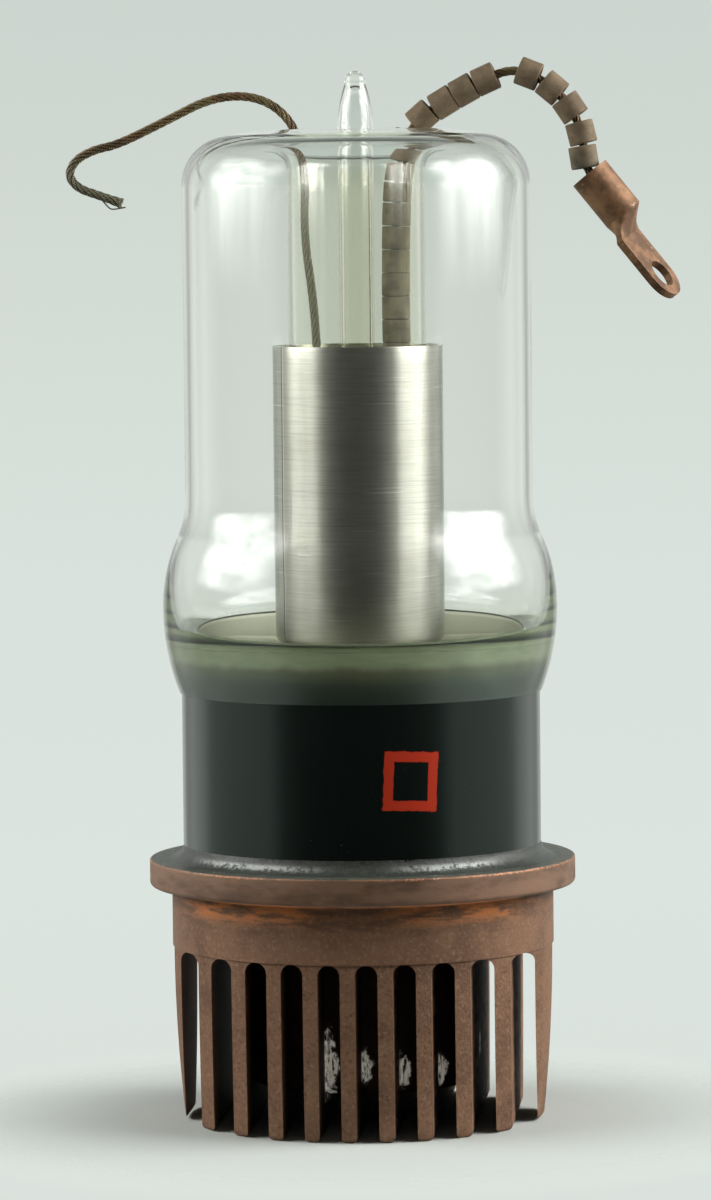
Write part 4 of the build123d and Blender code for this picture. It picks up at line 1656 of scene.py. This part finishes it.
@dataclass
class BeadString:
    """Ceramic beads threaded on a lead: a column, three loose groups and bare wire between."""

    radius: float = 3.35
    length: float = 5.2
    bore: float = 1.65
    cup_radius: float = 2.5
    cup_depth: float = 0.8
    edge: float = 0.32
    gap: float = 0.22
    first: float = 7.0
    column: int = 22
    bare: float = 2.7
    loose: int = 3
    loose_gap: float = 0.1
    last: int = 2
    column_snug: float = 1.038
    loose_snug: float = 1.012
    uneven: float = 0.012
    segments: int = 40
    seed: int = 700

    def stations(self, line: Line) -> list[float]:
        """Place the beads so that neighbours keep their gap where the wire bends.

        Args:
            line: The wire's line.

        Returns:
            The length along the wire to the middle of each bead, in millimetres.
        """
        gaps = [self.gap] * (self.column - 1) + [self.bare] + [self.loose_gap] * self.loose
        gaps += [self.gap] * (self.last - 1)
        places = [self.first + self.gap + self.length / 2]
        for gap in gaps:
            here = line.at(places[-1] * MM)[1]
            pitch = self.length + gap
            for _ in range(6):
                there = line.at((places[-1] + pitch) * MM)[1]
                pitch = self.length + gap + self.radius * here.angle(there)
            places.append(places[-1] + pitch)
        return places

    def bead(self, number: int) -> list[Point]:
        """Give one bead's profile, no two quite alike; the column's stand close.

        Args:
            number: Which bead it is.

        Returns:
            Radius and height of the profile's points.
        """
        rng = random.Random(self.seed + number)
        out = self.radius * rng.uniform(0.975, 1.0)
        snug = self.column_snug if number < self.column else self.loose_snug
        half = self.length / 2 * rng.uniform(0.985, 1.0) * snug
        soft = self.edge * rng.uniform(0.7, 1.2)
        outline = Outline(self.bore, -half).run(out - soft, -half, 2)
        outline.arc(out, -half + soft, (1, 0), 4).run(out, half - soft, 4)
        outline.arc(out - soft, half, (0, 1), 4).run(self.cup_radius, half)
        outline.run(self.bore, half - self.cup_depth, 3).run(self.bore, -half, 3)
        return [(point.x, point.y) for point in outline.points[:-1]]

    def shell(self, line: Line, number: int, station: float) -> Shell:
        """Turn one bead round the wire.

        Args:
            line: The wire's line.
            number: Which bead it is.
            station: The length along the wire to its middle, in millimetres.

        Returns:
            Its corners and faces.
        """
        point, heading, side = line.at(station * MM)
        across = heading.cross(side)
        profile = self.bead(number)
        vertices = []
        for step in range(self.segments):
            angle = 2 * math.pi * step / self.segments
            out = side * math.cos(angle) + across * math.sin(angle)
            spot = Vector((number * 3.1, math.cos(angle), math.sin(angle)))
            chip = 1.0 + self.uneven * noise.noise(spot)
            for radius, height in profile:
                vertices.append(point + (out * radius * chip + heading * height) * MM)
        return vertices, ring_faces(self.segments, len(profile))

    def build(self, line: Line) -> bpy.types.Object:
        """Thread the beads.

        Args:
            line: The wire's line.

        Returns:
            All the beads as one piece.
        """
        shells = [
            self.shell(line, number, station)
            for number, station in enumerate(self.stations(line))
        ]
        beads = dress(mesh_piece("ceramic_beads", *join_shells(shells), 42.0), BeadClay())
        return stand_for(beads, "bead_ceramic", "lead_beads")


LEFT_ROUTE: tuple[Place, ...] = (
    (-9.0, 0.0, 126.5), (-9.0, 0.0, 149.0), (-9.2, 0.3, 172.0), (-10.2, 0.0, 192.0),
    (-12.5, -0.4, 208.0), (-11.8, -0.3, 223.0), (-14.2, 0.0, 234.2), (-22.0, 0.3, 240.6),
    (-33.2, 0.2, 240.8), (-45.0, -0.6, 234.9), (-56.0, -1.8, 229.6), (-61.3, -2.3, 228.6),
    (-65.9, -2.7, 226.2), (-67.6, -3.0, 222.6), (-65.2, -3.3, 219.5), (-60.4, -3.8, 217.9),
    (-54.8, -4.4, 215.9),
)
RIGHT_ROUTE: tuple[Place, ...] = (
    (9.0, 0.0, 126.5), (9.0, 0.0, 149.0), (9.3, 0.2, 172.0), (9.1, 0.1, 193.0),
    (9.3, 0.0, 211.0), (10.2, 0.0, 225.5), (13.6, -0.1, 234.2), (21.5, -0.4, 239.2),
    (30.0, -0.8, 243.8), (37.6, -1.1, 246.6), (45.3, -1.3, 243.0), (51.2, -1.4, 236.6),
    (53.6, -1.4, 229.6), (53.3, -1.4, 223.7), (57.0, -1.4, 219.1),
)


@dataclass
class StrayWire:
    """One thin wire that sprang out of the strands and bends back in a small loop."""

    start: float = 5.2
    reach: float = 6.4
    curl: float = 0.35
    drop: float = 1.5
    clear: float = 0.55
    radius: float = 0.17
    parts: int = 24

    def build(self, line: Line) -> bpy.types.Object:
        """Bend the wire out below the end of a lead.

        Args:
            line: The lead's line.

        Returns:
            The wire.
        """
        end, heading, _ = line.at(line.length)
        down = Vector((0.0, 0.0, -1.0))
        down = (down - heading * down.dot(heading)).normalized()
        start = end - heading * self.start * MM
        points = []
        for part in range(self.parts + 1):
            share = part / self.parts
            fall = math.sin(share * math.pi) * self.drop + self.clear
            along = share * self.reach + math.sin(share * math.pi * 2) * self.curl
            points.append(start + heading * along * MM + down * fall * MM)
        shell = Line(points).tube(self.radius * MM, 8)
        return dress(mesh_piece("stray_wire", *shell), WireCopper())


@dataclass
class Leads:
    """The two free leads with what is on them."""

    diameter: float = 0.0021
    left_length: float = 0.183
    right_length: float = 0.171
    splay: float = 0.25
    stray: StrayWire = field(default_factory=StrayWire)
    beads: BeadString = field(default_factory=BeadString)

    def build(self) -> None:
        self.build_left()
        self.build_right()

    def build_left(self) -> None:
        """Hook the bare lead back on itself, with one wire sprung loose at its cut end."""
        strands = StrandedLead("left_strands", LEFT_ROUTE, splay=self.splay)
        line = strands.line()
        lead = stand_for(strands.build(line), "stranded_copper", "left_lead")
        stray = stand_for(self.stray.build(line), "stranded_copper")
        LOG.info("left lead: %.1f mm", line.length / MM)

    def build_right(self) -> None:
        """Thread the beads on the other lead and dress the lug on its end."""
        strands = StrandedLead("right_strands", RIGHT_ROUTE)
        line = strands.line()
        lead = stand_for(strands.build(line), "stranded_copper", "right_lead")
        beads = self.beads.build(line)
        lug = dress(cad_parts["cable_lug"], LugCopper())
        LOG.info("right lead: %.1f mm", line.length / MM)


# ---------------------------------------------------------------------------- studio


class BoxSide(Enum):
    """The side of the camera that a soft box stands on."""

    LEFT = -1
    RIGHT = 1


SWEEP_STOPS: tuple[tuple[float, Colour], ...] = (
    (0.0, tone(217, 224, 219)), (0.30, tone(220, 228, 223)), (0.48, tone(217, 225, 220)),
    (0.60, tone(213, 221, 215)), (0.72, tone(207, 215, 209)), (0.86, tone(202, 212, 206)),
    (1.0, tone(198, 208, 202)),
)
ROOM_STOPS: tuple[tuple[float, Colour], ...] = (
    (0.0, (0.72, 0.76, 0.73)), (0.03, (0.70, 0.74, 0.71)), (0.055, (0.40, 0.42, 0.40)),
    (0.08, (0.50, 0.52, 0.50)), (0.12, (0.82, 0.86, 0.83)), (0.24, (0.86, 0.90, 0.87)),
    (0.31, (0.50, 0.52, 0.50)), (0.74, (0.50, 0.52, 0.50)), (0.81, (0.12, 0.125, 0.12)),
    (0.89, (0.03, 0.031, 0.03)), (1.0, (0.02, 0.021, 0.02)),
)


@dataclass
class Studio:
    """The camera, two soft boxes, the room's colour and the paper floor."""

    azimuth: float = 4.93
    distance: float = 1.2925
    height: float = 0.208
    aim_height: float = 0.1222
    aim_left: float = 0.00106
    roll: float = -0.57
    lens: float = 165.0
    box_swing: float = 83.0
    box_distance: float = 0.58
    box_width: float = 0.78
    box_height: float = 0.70
    box_foot: float = 0.02
    box_glow: float = 8.0
    left_gain: float = 0.8
    right_gain: float = 1.2
    box_tint: Colour = (1.0, 0.995, 0.98)
    box_aim: float = 0.16
    side_fade: Point = (0.5, 0.16)
    foot_fade: Point = (0.235, 0.31)
    head_fade: Point = (1.0, 0.8)
    ceiling: Colour = tone(90, 93, 90)
    table: Colour = tone(186, 192, 187)
    ambient: Colour = (0.065, 0.067, 0.065)
    floor_rings: tuple[float, ...] = (0.0001, 0.05, 0.1, 0.2, 0.4)
    floor_segments: int = 96

    def direction(self, azimuth: float) -> Vector:
        """Give the level direction from the axis at an azimuth.

        Args:
            azimuth: Degrees from the front, growing to the right.

        Returns:
            The direction.
        """
        angle = math.radians(azimuth)
        return Vector((math.sin(angle), -math.cos(angle), 0.0))

    def build(self) -> None:
        """Set the camera, the lamps, the world and the floor."""
        scene = bpy.context.scene
        scene.view_settings.view_transform = "Standard"
        scene.cycles.max_bounces = 28
        scene.cycles.transmission_bounces = 26
        scene.cycles.transparent_max_bounces = 24
        scene.cycles.glossy_bounces = 8
        self.build_camera()
        for side in BoxSide:
            self.build_soft_box(side)
        self.build_world()
        self.build_floor()

    def build_camera(self) -> None:
        """Stand the camera on its tripod, leaning a touch to one side."""
        toward = self.direction(self.azimuth)
        right = Vector((-toward.y, toward.x, 0.0))
        place = toward * self.distance + Vector((0.0, 0.0, self.height))
        aim = Vector((0.0, 0.0, self.aim_height)) - right * self.aim_left
        turn = (aim - place).to_track_quat("-Z", "Y")
        turn = turn @ Quaternion((0.0, 0.0, 1.0), math.radians(self.roll))
        data = bpy.data.cameras.new("camera")
        data.lens = self.lens
        data.sensor_width = 36.0
        data.sensor_fit = "AUTO"
        data.clip_end = 20.0
        camera = bpy.data.objects.new("camera", data)
        camera.location = place
        camera.rotation_euler = turn.to_euler()
        bpy.context.scene.collection.objects.link(camera)
        bpy.context.scene.camera = camera

    def build_soft_box(self, side: BoxSide) -> None:
        """Hang one soft box, uneven as its cloth is.

        Args:
            side: The side it hangs on.
        """
        name = f"soft_box_{side.name.lower()}"
        data = bpy.data.lights.new(name, "AREA")
        data.shape = "RECTANGLE"
        data.size, data.size_y = self.box_width, self.box_height
        gain = self.right_gain if side is BoxSide.RIGHT else self.left_gain
        data.energy = self.box_glow * gain * math.pi * self.box_width * self.box_height
        data.color = self.box_tint
        data.use_nodes = True
        desk = NodeDesk(data.node_tree)
        spot = desk.node("ShaderNodeNewGeometry", output="Parametric")
        across, up, _ = desk.axes(spot)
        cloth = desk.node(
            "ShaderNodeTexNoise", {"noise_dimensions": "4D"},
            {"Vector": spot, "W": 3.0 + side.value, "Scale": 4.0, "Detail": 3.0},
        )
        edge = abs(across - 0.5).rise(*self.side_fade)
        edge = edge * up.rise(*self.foot_fade) * up.rise(*self.head_fade)
        strength = (0.35 + cloth.rise(0.3, 0.7) * 1.1) * edge
        glow = desk.node("ShaderNodeEmission", None, {"Strength": strength})
        desk.node("ShaderNodeOutputLight", None, {"Surface": glow})
        lamp = bpy.data.objects.new(name, data)
        place = self.direction(self.azimuth + side.value * self.box_swing) * self.box_distance
        place.z = self.box_foot + self.box_height / 2
        lamp.location = place
        aim = Vector((0.0, 0.0, self.box_aim))
        lamp.rotation_euler = (aim - place).to_track_quat("-Z", "Y").to_euler()
        lamp.visible_camera = False
        bpy.context.scene.collection.objects.link(lamp)

    def build_world(self) -> None:
        """Wrap the room: even pale sweep to the eye and through glass, darker in reflections."""
        world = bpy.data.worlds.new("room")
        bpy.context.scene.world = world
        world.use_nodes = True
        desk = NodeDesk(world.node_tree)
        x, y, up = desk.axes(desk.node("ShaderNodeTexCoord", output="Generated"))
        steep = up.math("ARCSINE") * math.degrees(1.0)
        sweep = desk.node(
            "ShaderNodeValToRGB", {"stops": SWEEP_STOPS}, {0: (steep + 12.0) / 18.0}
        )
        toward = self.direction(self.azimuth)
        facing = (x * toward.x + y * toward.y) / (desk.reach(x, y) + 0.001)
        room = desk.node(
            "ShaderNodeValToRGB", {"stops": ROOM_STOPS}, {0: facing * 0.5 + 0.5}
        )
        low = up.rise(-0.12, -0.45) * facing.rise(0.9, 0.4)
        room = desk.layers(
            room, (up.rise(0.3, 0.75), self.ceiling), (low, self.table)
        )
        glossy = desk.node("ShaderNodeLightPath", output="Glossy Depth")
        diffuse = Wire(desk, glossy.socket.node.outputs["Diffuse Depth"])
        colour = desk.layers(
            sweep, (glossy.least(1.0), room), (diffuse.least(1.0), self.ambient)
        )
        glow = desk.node("ShaderNodeBackground", None, {"Color": colour, "Strength": 1.0})
        desk.node("ShaderNodeOutputWorld", None, {"Surface": glow})

    def build_floor(self) -> None:
        """Lay the paper as rings that reach past its faded edge."""
        vertices, faces = [], []
        rings, segments = self.floor_rings, self.floor_segments
        for ring in rings:
            for step in range(segments):
                angle = 2 * math.pi * step / segments
                vertices.append((ring * math.cos(angle), ring * math.sin(angle), 0.0))
        for ring in range(len(rings) - 1):
            for step in range(segments):
                after = (step + 1) % segments
                low, high = ring * segments, (ring + 1) * segments
                faces.append((low + step, high + step, high + after, low + after))
        faces.append(tuple(range(segments)))
        floor = dress(mesh_piece("paper_floor", vertices, faces), FloorPaper())
        if floor.data.polygons[0].normal.z < 0:
            floor.data.flip_normals()


# ---------------------------------------------------------------------------- making it


def main() -> None:
    """Build the studio and the tube, piece by piece."""
    logging.basicConfig(level=logging.INFO, format="%(message)s")
    Studio().build()
    Leads().build()
    AnodeBody().build()
    Skirt().build()
    GlassBulb().build()
    CathodeMount().build()


if __name__ == "__main__":
    main()
